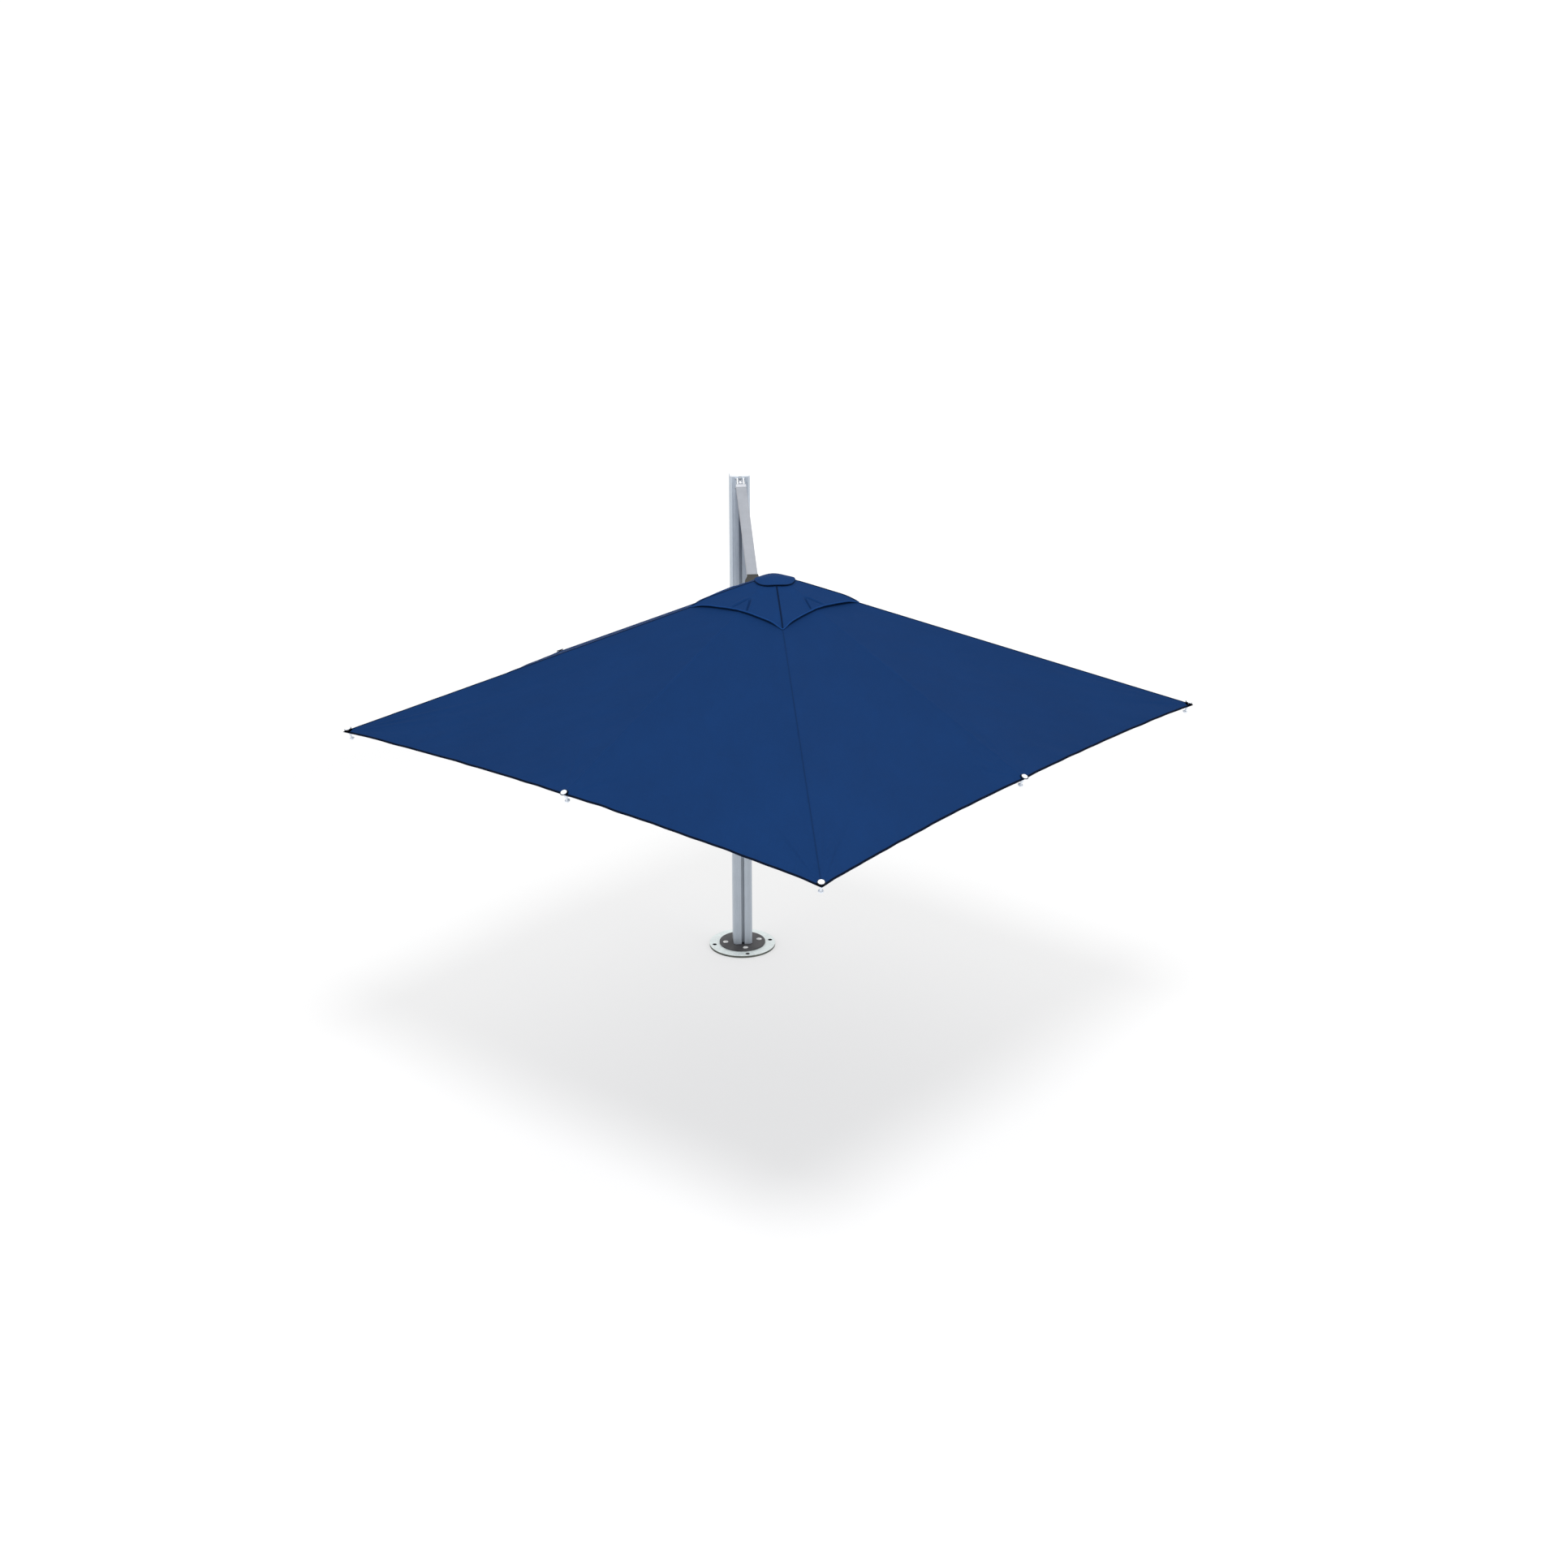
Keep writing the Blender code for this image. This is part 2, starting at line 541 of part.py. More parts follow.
def build_knob(carriage):
    """Star knob that clamps the slide block in the mast's slot."""
    face = MAST_HALF + SLIDE_GAP - PIVOT_REACH + PLATE_DEPTH + SLIDING_GAP
    hinge = axle("clamp_knob_axis", carriage, (face, 0, KNOB_HEIGHT))
    count, ring = 6 * KNOB_LOBES, []
    for i in range(count):
        angle = 2 * pi * i / count
        radius = KNOB_RADIUS + KNOB_LOBE * cos(KNOB_LOBES * angle)
        ring.append((radius * cos(angle), radius * sin(angle)))
    star = extruded([ring], (KNOB_BACK, KNOB_FRONT), "yz")
    knob = piece("clamp_knob", star, hinge, "polymer", smooth=True)
    unite(knob, extruded([circle((0, 0), KNOB_HUB, 12)], (0, KNOB_BACK + 0.004), "yz"))


# Canopy frame

def build_crown(crown):
    rise = RIB_PIVOT_HEIGHT - HUB_PIVOT_HEIGHT
    top = VENT_CENTRE_HEIGHT - 0.004 - HUB_PIVOT_HEIGHT
    body = turned([(0, rise - HUB_HALF), (HUB_RADIUS, rise - HUB_HALF), (HUB_RADIUS, rise + HUB_HALF),
                   (HUB_NECK, rise + HUB_HALF + 0.008), (HUB_NECK, top), (0, top)], 24)
    hub = piece("crown_hub", body, crown, "cast")
    lugs = bmesh.new()
    for azimuth in list(CORNERS.values()) + list(MIDS.values()):
        for side in (-1, 1):
            low, high = sorted((side * LUG_INNER, side * LUG_OUTER))
            box((LUG_START, low, rise - 0.011), (LUG_END, high, rise + 0.0105), lugs, radians(azimuth))
    unite(hub, lugs)
    half = RAIL_INNER - SLIDING_GAP
    stem = extruded([chamfered((-0.019, -0.019), (0.019, rise - 0.010), 0.008),
                     circle((0, 0), PIN_HOLE, 12)], (-half, half), "xz")
    unite(hub, stem)
    piece("hub_pin", headed_pin(RAIL_OUTER + 0.0006, PIN_HEAD, PIN_HEAD_THICK), crown, "steel", smooth=True)

    low = VENT_CENTRE_HEIGHT + 0.0015 - HUB_PIVOT_HEIGHT
    dome = [(0, low), (CROWN_RADIUS - 0.002, low), (CROWN_RADIUS, low + CROWN_RIM)]
    for i in range(1, 5):
        angle = radians(90 * i / 5)
        dome.append((CROWN_RADIUS * cos(angle), low + CROWN_RIM + CROWN_RISE * sin(angle)))
    dome.append((0, low + CROWN_RIM + CROWN_RISE))
    piece("crown_cap", turned(dome, 24), crown, "cloth", smooth=True)


def build_rib(name, azimuth, tilt, tip_radius, arm, crown):
    """One rib with its tip and stretcher; returns the stretcher's axle."""
    turn = radians(azimuth)
    rise = RIB_PIVOT_HEIGHT - HUB_PIVOT_HEIGHT
    hinge = axle(f"rib_{name}_axis", crown,
                 (PIVOT_RING * cos(turn), PIVOT_RING * sin(turn), rise), (0, tilt, turn))
    end = (tip_radius - PIVOT_RING) / cos(tilt)
    eye = RIB_EYE
    tube = [chamfered((-RIB_HALF_WIDTH, RIB_BOTTOM), (RIB_HALF_WIDTH, RIB_TOP), 0.002),
            chamfered((RIB_WALL - RIB_HALF_WIDTH, RIB_BOTTOM + RIB_WALL),
                      (RIB_HALF_WIDTH - RIB_WALL, RIB_TOP - RIB_WALL), 0.0005)]
    rib = piece(f"rib_{name}", extruded(tube, (RIB_START, end - RIB_SOCKET), "yz"), hinge, "anodised")
    # tongue into the hub: round nose at the pivot, shoulder up into the tube
    nose = [(eye * cos(a), eye * sin(a)) for a in (pi * (0.5 + i / 6) for i in range(7))]
    tongue = nose + [(0.024, -eye), (0.050, RIB_BOTTOM + 0.001), (0.050, 0.026), (0.016, 0.026)]
    lug = [(arm + eye * cos(a), eye * sin(a)) for a in (pi * (1 + i / 6) for i in range(7))]
    lug += [(arm + eye, RIB_BOTTOM + 0.001), (arm - eye, RIB_BOTTOM + 0.001)]
    fittings = extruded([tongue], (-0.0045, 0.0045), "xz")
    extruded([lug, circle((arm, 0), RIB_HOLE, 8)], (-0.004, 0.004), "xz", fittings)
    unite(rib, fittings)

    profile = [(0, -0.016), (TIP_FOOT / 2, -0.016), (TIP_FOOT, -0.010), (TIP_FOOT, -0.006),
               (TIP_STEM, -0.004), (TIP_STEM, 0.040), (TIP_BUTTON, 0.0415), (TIP_BUTTON, 0.046),
               (TIP_BUTTON * 2 / 3, 0.0505), (0, 0.052)]
    tip = piece(f"rib_tip_{name}", turned(profile, 10), hinge, "white", (end, 0, 0), smooth=True)
    socket = extruded([chamfered((-0.0095, RIB_BOTTOM + 0.0005), (0.0095, RIB_TOP - 0.0005), 0.002)],
                      (GAP - RIB_SOCKET, 0.002), "yz")
    unite(tip, socket)

    joint = axle(f"stretcher_{name}_axis", hinge, (arm, 0, 0), (0, pi - 2 * tilt, 0))
    bar = [stadium(0, arm, STRETCHER_EDGE, 4), circle((0, 0), RIB_HOLE, 8), circle((arm, 0), RIB_HOLE, 8)]
    bar = extruded(bar, (STRETCHER_INNER, STRETCHER_OUTER), "xz")
    piece(f"stretcher_{name}", bar, joint, "anodised")
    return joint


def build_runner(joint):
    """Sleeve on the canopy's axis with two tiers of lugs, hung on the stretchers."""
    upright = axle("runner_axis", joint, (STRETCHER_CORNER, 0, 0), (0, CORNER_TILT - pi, 0))
    low, bevel = -RUNNER_TIER - RUNNER_END, RUNNER_RADIUS - RUNNER_END_RADIUS
    body = turned([(0, low), (RUNNER_END_RADIUS, low), (RUNNER_RADIUS, low + bevel),
                   (RUNNER_RADIUS, RUNNER_END - bevel), (RUNNER_END_RADIUS, RUNNER_END), (0, RUNNER_END)], 16)
    runner = piece("runner", body, upright, "cast", (-PIVOT_RING, 0, 0))
    lugs = bmesh.new()
    for ring, height in ((CORNERS, 0), (MIDS, -RUNNER_TIER)):
        for azimuth in ring.values():
            # the lug runs along local x and is turned to its rib's azimuth
            box((0.018, -RUNNER_LUG, height - RIB_EYE),
                (PIVOT_RING + RIB_EYE, RUNNER_LUG, height + RIB_EYE), lugs, radians(azimuth))
    unite(runner, lugs)
    boss = [circle((0, -DRIVE_DROP), 0.006, 12)]
    unite(runner, extruded(boss, (-RAIL_OUTER, RAIL_OUTER), "xz"))


def build_frame(crown):
    build_crown(crown)
    joints = {}
    for name, azimuth in CORNERS.items():
        joints[name] = build_rib(name, azimuth, CORNER_TILT, CORNER_TIP, STRETCHER_CORNER, crown)
    for name, azimuth in MIDS.items():
        build_rib(name, azimuth, MID_TILT, MID_TIP, STRETCHER_MID, crown)
    build_runner(joints["front"])


# Fabric

def corner_ridge(radius):
    return APEX_CORNER - CORNER_SLOPE * radius


def mid_ridge(radius):
    return APEX_MID - MID_SLOPE * radius


def vent_lift(fraction):
    """The vent cap floats above the canopy and dips to it at its corners."""
    return VENT_LIFT * (1 - 0.75 * max(0, (fraction - 0.7) / 0.3) ** 2)


def sheet(rows, crown, name):
    """A square sheet of eight gores with its rows given for one gore, mirrored round."""
    mesh = bmesh.new()
    for quarter in range(4):
        for mirror in (1, -1):
            turn = Matrix.Rotation(quarter * pi / 2, 4, "Z") @ Matrix.Diagonal((1, mirror, 1, 1))
            grid = [[mesh.verts.new(turn @ point) for point in row] for row in rows]
            for lower, upper in zip(grid, grid[1:]):
                for a, b, c, d in zip(lower, lower[1:], upper[1:], upper):
                    mesh.faces.new((a, b, c, d) if mirror < 0 else (d, c, b, a))
    bmesh.ops.remove_doubles(mesh, verts=mesh.verts, dist=0.0002)
    bmesh.ops.recalc_face_normals(mesh, faces=mesh.faces)
    if sum(face.normal.z for face in mesh.faces) < 0:
        bmesh.ops.reverse_faces(mesh, faces=mesh.faces)
    item = piece(name, mesh, crown, "cloth", (0, 0, -HUB_PIVOT_HEIGHT), smooth=True)
    thick = item.modifiers.new("Solidify", "SOLIDIFY")
    thick.thickness = FABRIC_THICK
    thick.offset = -1
    return item


def gore_row(corner, mid, scallop, columns):
    """Points from the corner ridge to the mid ridge, drawn in by the scallop between them."""
    along = (mid - corner).normalized()
    inward = Vector((-along.y, along.x, 0)).normalized()
    if inward.x > 0:
        inward = -inward
    row = []
    for i in range(columns + 1):
        f = i / columns
        row.append(corner.lerp(mid, f) + inward * scallop * 4 * f * (1 - f))
    return row


def stem_holes():
    """The shape of the holes in the canopy that the tips' stems stand in."""
    holes = bmesh.new()
    for ring, tilt, reach in ((CORNERS, CORNER_TILT, CORNER_TIP), (MIDS, MID_TILT, MID_TIP)):
        slope = Matrix.Translation((PIVOT_RING, 0, RIB_PIVOT_HEIGHT)) @ Matrix.Rotation(tilt, 4, "Y")
        end = (reach - PIVOT_RING) / cos(tilt)
        for azimuth in ring.values():
            known = len(holes.verts)
            extruded([circle((end, 0), STEM_HOLE, 12)], (RIB_BOTTOM, RIB_TOP + 0.010), mesh=holes)
            holes.verts.ensure_lookup_table()
            turn = Matrix.Rotation(radians(azimuth), 4, "Z") @ slope
            bmesh.ops.transform(holes, matrix=turn, verts=holes.verts[known:])
    return holes


def build_canopy(crown):
    corner_end = CORNER_TIP + HEM_BEYOND_CORNER
    mid_end = MID_TIP + HEM_BEYOND_MID
    diagonal = cos(pi / 4)
    rows = []
    count = 8
    for i in range(count + 1):
        radius = VENT_OPENING + (corner_end - VENT_OPENING) * i / count
        inner = VENT_OPENING * diagonal
        side = inner + (mid_end - inner) * i / count
        corner = Vector((radius, 0, corner_ridge(radius)))
        mid = Vector((side * diagonal, side * diagonal, mid_ridge(side)))
        rows.append(gore_row(corner, mid, HEM_SCALLOP * (i / count) ** 2, 4))
    canopy = sheet(rows, crown, "canopy_fabric")
    # slot over the back rib, which the link's fork passes through
    half_width = FORK_LEG_OUTER + 0.006
    cut(canopy, box((-SLOT_CENTRE - SLOT_LENGTH_HALF, -half_width, 2.45),
                    (SLOT_LENGTH_HALF - SLOT_CENTRE, half_width, 2.75)))
    cut(canopy, stem_holes())


def build_vent_cap(crown):
    diagonal = cos(pi / 4)
    side_end = VENT_CORNER * diagonal
    flat = CROWN_RADIUS - 0.005
    ring = [Vector((VENT_CENTRE * cos(a), VENT_CENTRE * sin(a), VENT_CENTRE_HEIGHT))
            for a in (radians(45 * i / 4) for i in range(5))]
    rim = [Vector((flat * cos(a), flat * sin(a), VENT_CENTRE_HEIGHT))
           for a in (radians(45 * i / 4) for i in range(5))]
    rows = [ring, rim]
    count = 5
    for i in range(1, count + 1):
        f = i / count
        radius = flat + (VENT_CORNER - flat) * f
        side = flat + (side_end - flat) * f
        corner = Vector((radius, 0, corner_ridge(radius) + vent_lift(f)))
        mid = Vector((side * diagonal, side * diagonal, mid_ridge(side) + VENT_LIFT))
        straight = gore_row(corner, mid, VENT_SCALLOP * f ** 2, 4)
        # the rings are round by the crown cap and square at the hem
        rows.append([Vector((*(p.xy.normalized() * (p.xy.length * f + q * (1 - f))), p.z))
                     for p, q in zip(straight, (radius + (side - radius) * j / 4 for j in range(5)))])
    sheet(rows, crown, "vent_cap")


clear_scene()
build_foot()
swivel = axle("mast_turn_axis", None, rotation=(0, 0, -pi / 2))
build_mast(swivel)
arm_fold = axle("arm_fold_axis", swivel, (PIVOT_REACH, 0, TOP_PIVOT_HEIGHT), (0, ARM_TILT, 0))
build_link(arm_fold)
boom_axis = axle("boom_axis", arm_fold, (LINK_LENGTH, 0, 0), (0, -2 * ARM_TILT, 0))
build_boom(boom_axis)
build_drive_links(boom_axis)
carriage_axis = axle("carriage_axis", boom_axis, (-LINK_LENGTH, 0, 0), (0, ARM_TILT, 0))
build_carriage(carriage_axis)
build_knob(carriage_axis)
crown_axis = axle("crown_axis", boom_axis, (BOOM_OUTER, 0, 0), (0, ARM_TILT, 0))
build_frame(crown_axis)
build_canopy(crown_axis)
build_vent_cap(crown_axis)
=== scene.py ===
"""Looks of the cantilever parasol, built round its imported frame.

Metres, +Z up.  The canopy's axis stands at the crown pivot and the arm reaches
along -Y.  Places come from the frame's joints and boxes; the constants below
are the sizes of details that the frame doesn't hold.
"""
import json
from math import atan2, cos, pi, radians, sin, sqrt

import bmesh
import bpy
import numpy as np
from mathutils import Matrix, Vector


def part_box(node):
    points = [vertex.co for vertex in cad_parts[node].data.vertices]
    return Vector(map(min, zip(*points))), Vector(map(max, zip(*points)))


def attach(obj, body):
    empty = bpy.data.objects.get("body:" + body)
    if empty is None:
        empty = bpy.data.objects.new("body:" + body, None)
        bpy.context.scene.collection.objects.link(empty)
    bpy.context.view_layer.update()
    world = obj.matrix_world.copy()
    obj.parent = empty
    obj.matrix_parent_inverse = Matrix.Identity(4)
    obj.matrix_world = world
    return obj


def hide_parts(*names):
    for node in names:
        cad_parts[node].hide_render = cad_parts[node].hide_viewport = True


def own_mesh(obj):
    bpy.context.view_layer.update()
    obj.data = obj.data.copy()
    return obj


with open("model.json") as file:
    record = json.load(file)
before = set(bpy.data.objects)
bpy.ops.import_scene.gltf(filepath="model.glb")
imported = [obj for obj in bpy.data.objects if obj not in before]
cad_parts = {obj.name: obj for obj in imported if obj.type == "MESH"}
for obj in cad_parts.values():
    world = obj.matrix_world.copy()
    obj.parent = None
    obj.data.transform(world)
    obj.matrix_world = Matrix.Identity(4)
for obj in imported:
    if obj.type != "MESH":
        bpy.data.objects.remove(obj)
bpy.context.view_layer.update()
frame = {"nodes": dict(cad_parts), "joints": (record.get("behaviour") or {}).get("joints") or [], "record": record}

# Camera, lights and floor
CAMERA_DISTANCE = 13.621         # on the ground, from the mast
CAMERA_AZIMUTH = radians(-4.373)
CAMERA_HEIGHT = 6.302
CAMERA_HEADING = radians(5.467)
CAMERA_PITCH = radians(21.0)
CAMERA_LENS = 54.94
LAMP_PLACE = Vector((-0.1, -8.9, 11.5))
LAMP_TARGET = Vector((0, -0.7, 0))
LAMP_SIZE = 2.9
LAMP_POWER = 990
SKY_STRENGTH = 1.06
FLOOR_TONE = 0.40
FLOOR_GLOW = 0.485                # keeps the floor white outside the shadow
FLOOR_GLOW_FAR = 0.66
GLOW_RISES = (4.5, 9)            # between these distances from the mast
FLOOR_HALF = 60

# Foot, bracket and arm
SHADE_SHEET_THICK = 0.0010                  # painted shade: a black sheet under the base plate, which its holes show as dark
HOLE_RADIUS = 0.0122
CHEEK_INNER = 0.0147             # of the bracket's cheeks, from the middle
CHEEK_THICK = 0.0062
NOSE_RADIUS = 0.0205             # of the link's eye between them
NOSE_SCREW_TILT = radians(38)
FORK_BULGE = 0.0042              # of the fork's flare, beyond its legs
FORK_CROTCH = 0.080              # from the fork's start

# Cloth
CLOTH_THICK = 0.0012
HEM_WIDTH = 0.0105
HEM_THICK = 0.0032
HEM_BEYOND_CORNER = 0.010        # the hem stands this far outside the CAD sheet's
HEM_BEYOND_MID = 0.014
STEM_HOLE = 0.0068
RING_OUTER = 0.0205
HEM_SCALLOP = 0.025
SAG = 0.007
SEAM_HALF = 0.0042               # of the raised seams over the corner ribs
TAPE_HALF = 0.0085               # of the flat tapes over the mid-edge ribs
SEAM_PLACES = (-1, -0.97, -0.6, -0.3, 0, 0.3, 0.6, 0.97, 1)
SEAM_RISE = (0, 0.0006, 0.0012, 0.0016, 0.0018, 0.0016, 0.0012, 0.0006, 0)
TAPE_RISE = (0, 0.0005, 0.0007, 0.0009, 0.0010, 0.0009, 0.0007, 0.0005, 0)
VENT_SEAM_RISE = (0, 0.0006, 0.0015, 0.0021, 0.0024, 0.0021, 0.0015, 0.0006, 0)
SLIT_START, SLIT_END = 0.970, 1.300
SLIT_HALF = 0.048
BINDING_WIDTH = 0.014
CLOTH_ABOVE_PIVOTS = 0.0376
CORNER_SHARE = 2 - sqrt(2)       # of a row from corner to mid-edge, to the line between two ribs
VENT_SCALLOP = 0.020
VENT_ROUNDING = 0.006            # where the cloth turns flat under the crown cap
PUCKER_TOP = 0.094               # of the folds in the vent cap, above its hem
CROWN_DIP = 0.006                # of the vent cap and the crown's rim, between the corner seams
CROWN_FLARE = 0.05
PIPING_RADIUS = 0.0036
COLLAR_INNER, COLLAR_OUTER = 0.080, 0.142
COLLAR_THICK = 0.0012
COLLAR_APEX, COLLAR_SLOPE = 3.039, 0.465   # of the cone that it follows, below the vent cap

CORNERS = ("front", "right", "back", "left")
MIDS = ("front_right", "back_right", "back_left", "front_left")
SIDE_NAMES = {1: "left", -1: "right"}

JOINTS = {joint["name"]: joint for joint in frame["joints"]}
SLOTS = {part["node"]: part["material_slot"] for part in frame["record"]["subparts"]}
BODY_OF = {node: body for body, nodes in frame["record"]["behaviour"]["bodies"].items()
           for node in nodes}


def pivot(joint):
    return Vector(JOINTS[joint]["pos_m"])


AXIS = pivot("crown_pivot")


# Shader helpers

def finish(name, colour, roughness, metallic=0.0, **sockets):
    """A new Principled material, with its node tree and its shader."""
    material = bpy.data.materials.new(name)
    material.use_nodes = True
    tree = material.node_tree
    shader = tree.nodes["Principled BSDF"]
    shader.inputs["Base Color"].default_value = (*colour, 1)
    shader.inputs["Roughness"].default_value = roughness
    shader.inputs["Metallic"].default_value = metallic
    for socket, value in sockets.items():
        shader.inputs[socket.replace("_", " ")].default_value = value
    return material, tree, shader


def node(tree, kind, settings=None, **inputs):
    """A shader node; inputs given as sockets are linked, and the others are set."""
    item = tree.nodes.new("ShaderNode" + kind)
    for key, value in (settings or {}).items():
        setattr(item, key, value)
    for key, value in inputs.items():
        socket = item.inputs[int(key[1:])] if key[0] == "i" and key[1:].isdigit() else item.inputs[key]
        if isinstance(value, bpy.types.NodeSocket):
            tree.links.new(value, socket)
        else:
            socket.default_value = value
    return item


def math(tree, operation, a, b=0.0, c=0.0):
    return node(tree, "Math", {"operation": operation}, i0=a, i1=b, i2=c).outputs[0]


def place_vector(tree, scale=(1, 1, 1), uv=None):
    """Texture coordinates stretched by scale, from the object or from a UV map in metres."""
    if uv:
        vector = node(tree, "UVMap", {"uv_map": uv}).outputs["UV"]
    else:
        vector = node(tree, "TexCoord").outputs["Object"]
    return node(tree, "Mapping", Vector=vector, Scale=scale).outputs["Vector"]


def speckle(tree, vector, scale, detail=3.0, rough=0.55):
    return node(tree, "TexNoise", Vector=vector, Scale=scale, Detail=detail, Roughness=rough).outputs[0]


def span(tree, value, low, high, start=0.3, end=0.7):
    """A value remapped from start..end to low..high."""
    limits = {"From Min": start, "From Max": end, "To Min": low, "To Max": high}
    return node(tree, "MapRange", Value=value, **limits).outputs[0]


def tint(tree, factor, low, high):
    """A colour between two, by a factor from 0 to 1."""
    ramp = node(tree, "ValToRGB", Fac=factor)
    ramp.color_ramp.elements[0].color = (*low, 1)
    ramp.color_ramp.elements[1].color = (*high, 1)
    return ramp.outputs["Color"]


def blend_colours(tree, factor, low, high):
    return node(tree, "Mix", {"data_type": "RGBA"}, i0=factor, i6=low, i7=high).outputs[2]


def bump(tree, height, distance, strength=1.0):
    return node(tree, "Bump", Height=height, Distance=distance, Strength=strength).outputs["Normal"]


def shade(colour, factor):
    return tuple(channel * factor for channel in colour)


def mottled(tree, value, low, high, colour, amount):
    """Tones of a colour: darker where the value nears low, paler where it nears high."""
    factor = span(tree, value, 0, 1, low, high)
    return tint(tree, factor, shade(colour, 1 - amount), shade(colour, 1 + amount))


def wire(tree, shader, colours, roughness, normal):
    """Links a finish's colour, roughness and normal to its shader."""
    tree.links.new(colours, shader.inputs["Base Color"])
    tree.links.new(roughness, shader.inputs["Roughness"])
    tree.links.new(normal, shader.inputs["Normal"])


# Materials

def metal_finish(name, colour, roughness, grain, metallic=0.9, mottle=0.12, depth=0.00004):
    """Extruded or brushed metal: fine streaks along the grain and faint handling marks."""
    material, tree, shader = finish(name, colour, roughness, metallic)
    streaks = speckle(tree, place_vector(tree, grain), 90, 4)
    marks = speckle(tree, place_vector(tree), 9, 5, 0.65)
    both = math(tree, "ADD", math(tree, "MULTIPLY", streaks, 0.55), math(tree, "MULTIPLY", marks, 0.45))
    wire(tree, shader, mottled(tree, both, 0.38, 0.62, colour, mottle),
         span(tree, both, roughness - 0.07, roughness + 0.09), bump(tree, streaks, depth))
    return material


def coated_finish(name, colour, roughness, scale=260, depth=0.00012, mottle=0.08, metallic=0.0, wear=None):
    """Powder coat, casting or moulding: orange peel, slow tone changes, paler worn edges."""
    material, tree, shader = finish(name, colour, roughness, metallic)
    peel = speckle(tree, place_vector(tree), scale, 3)
    cloud = speckle(tree, place_vector(tree), 14, 5, 0.6)
    colours = mottled(tree, cloud, 0.32, 0.68, colour, mottle)
    if wear:
        edge = node(tree, "NewGeometry").outputs["Pointiness"]
        edge = math(tree, "MULTIPLY", span(tree, edge, 0, 1, 0.54, 0.62), span(tree, cloud, 0.1, 0.9))
        colours = blend_colours(tree, edge, colours, (*wear, 1))
    wire(tree, shader, colours, span(tree, peel, roughness - 0.06, roughness + 0.08), bump(tree, peel, depth))
    return material


def galvanised_finish(name, colour):
    """Hot-dip zinc: crystals that differ in tone and gloss, with a few dull runs."""
    material, tree, shader = finish(name, colour, 0.42, 0.2)
    where = place_vector(tree)
    warp = node(tree, "TexNoise", Vector=where, Scale=22.0, Detail=2.0).outputs["Color"]
    bent = node(tree, "Mix", {"data_type": "VECTOR"}, i0=0.03, i4=where, i5=warp).outputs[1]
    spangle = node(tree, "TexVoronoi", Vector=bent, Scale=95.0).outputs["Color"]
    spangle = node(tree, "SeparateColor", i0=spangle).outputs[0]
    cloud = speckle(tree, where, 16, 6, 0.6)
    both = math(tree, "ADD", math(tree, "MULTIPLY", spangle, 0.4), math(tree, "MULTIPLY", cloud, 0.6))
    colours = tint(tree, span(tree, both, 0, 1, 0.3, 0.72), shade(colour, 0.90), shade(colour, 1.06))
    wire(tree, shader, colours, span(tree, both, 0.32, 0.62), bump(tree, both, 0.0001))
    return material


def stitch_rows(tree, across, along, rows, pitch=0.0046, width=0.0011):
    """1 on the stitches of each row, which lies at a distance across the cloth."""
    dash = math(tree, "LESS_THAN", math(tree, "FRACT", math(tree, "DIVIDE", along, pitch)), 0.7)
    total = None
    for row in rows:
        line = math(tree, "COMPARE", across, row, width / 2)
        total = line if total is None else math(tree, "MAXIMUM", total, line)
    return math(tree, "MULTIPLY", dash, total)


def canvas_finish(name, colour, rows=(), pitch=0.0011, sheen=0.01):
    """Woven acrylic canvas: threads both ways, slubs, slow tone changes and rows of stitching."""
    material, tree, shader = finish(name, colour, 0.82, Sheen_Weight=sheen, Sheen_Roughness=0.45)
    shader.inputs["Sheen Tint"].default_value = (0.45, 0.62, 1.0, 1)
    shader.inputs["Specular IOR Level"].default_value = 0.04
    metres = node(tree, "UVMap", {"uv_map": "cloth"}).outputs["UV"]
    apart = node(tree, "SeparateXYZ", Vector=metres)
    turns = 2 * pi / pitch
    warp = math(tree, "SINE", math(tree, "MULTIPLY", apart.outputs[0], turns))
    weft = math(tree, "SINE", math(tree, "MULTIPLY", apart.outputs[1], turns))
    weave = math(tree, "MULTIPLY", warp, weft)
    slub_u = speckle(tree, place_vector(tree, (12, 420, 1), uv="cloth"), 1, 3)
    slub_v = speckle(tree, place_vector(tree, (420, 12, 1), uv="cloth"), 1, 3)
    slubs = math(tree, "ADD", math(tree, "MULTIPLY", slub_u, 0.5), math(tree, "MULTIPLY", slub_v, 0.5))
    cloud = speckle(tree, place_vector(tree, uv="cloth"), 2.3, 6, 0.6)
    tone = math(tree, "ADD", math(tree, "MULTIPLY", slubs, 0.6), math(tree, "MULTIPLY", cloud, 0.4))
    tone = math(tree, "MULTIPLY_ADD", weave, 0.03, tone)
    colours = mottled(tree, tone, 0.33, 0.67, colour, 0.14)
    height = math(tree, "MULTIPLY_ADD", weave, 0.5, slubs)
    if rows:
        stitches = stitch_rows(tree, apart.outputs[1], apart.outputs[0], rows)
        colours = blend_colours(tree, stitches, colours, (*shade(colour, 1.9), 1))
        height = math(tree, "MULTIPLY_ADD", stitches, 2.5, height)
    wire(tree, shader, colours, span(tree, tone, 0.76, 0.9), bump(tree, height, 0.00016, 0.7))
    return material


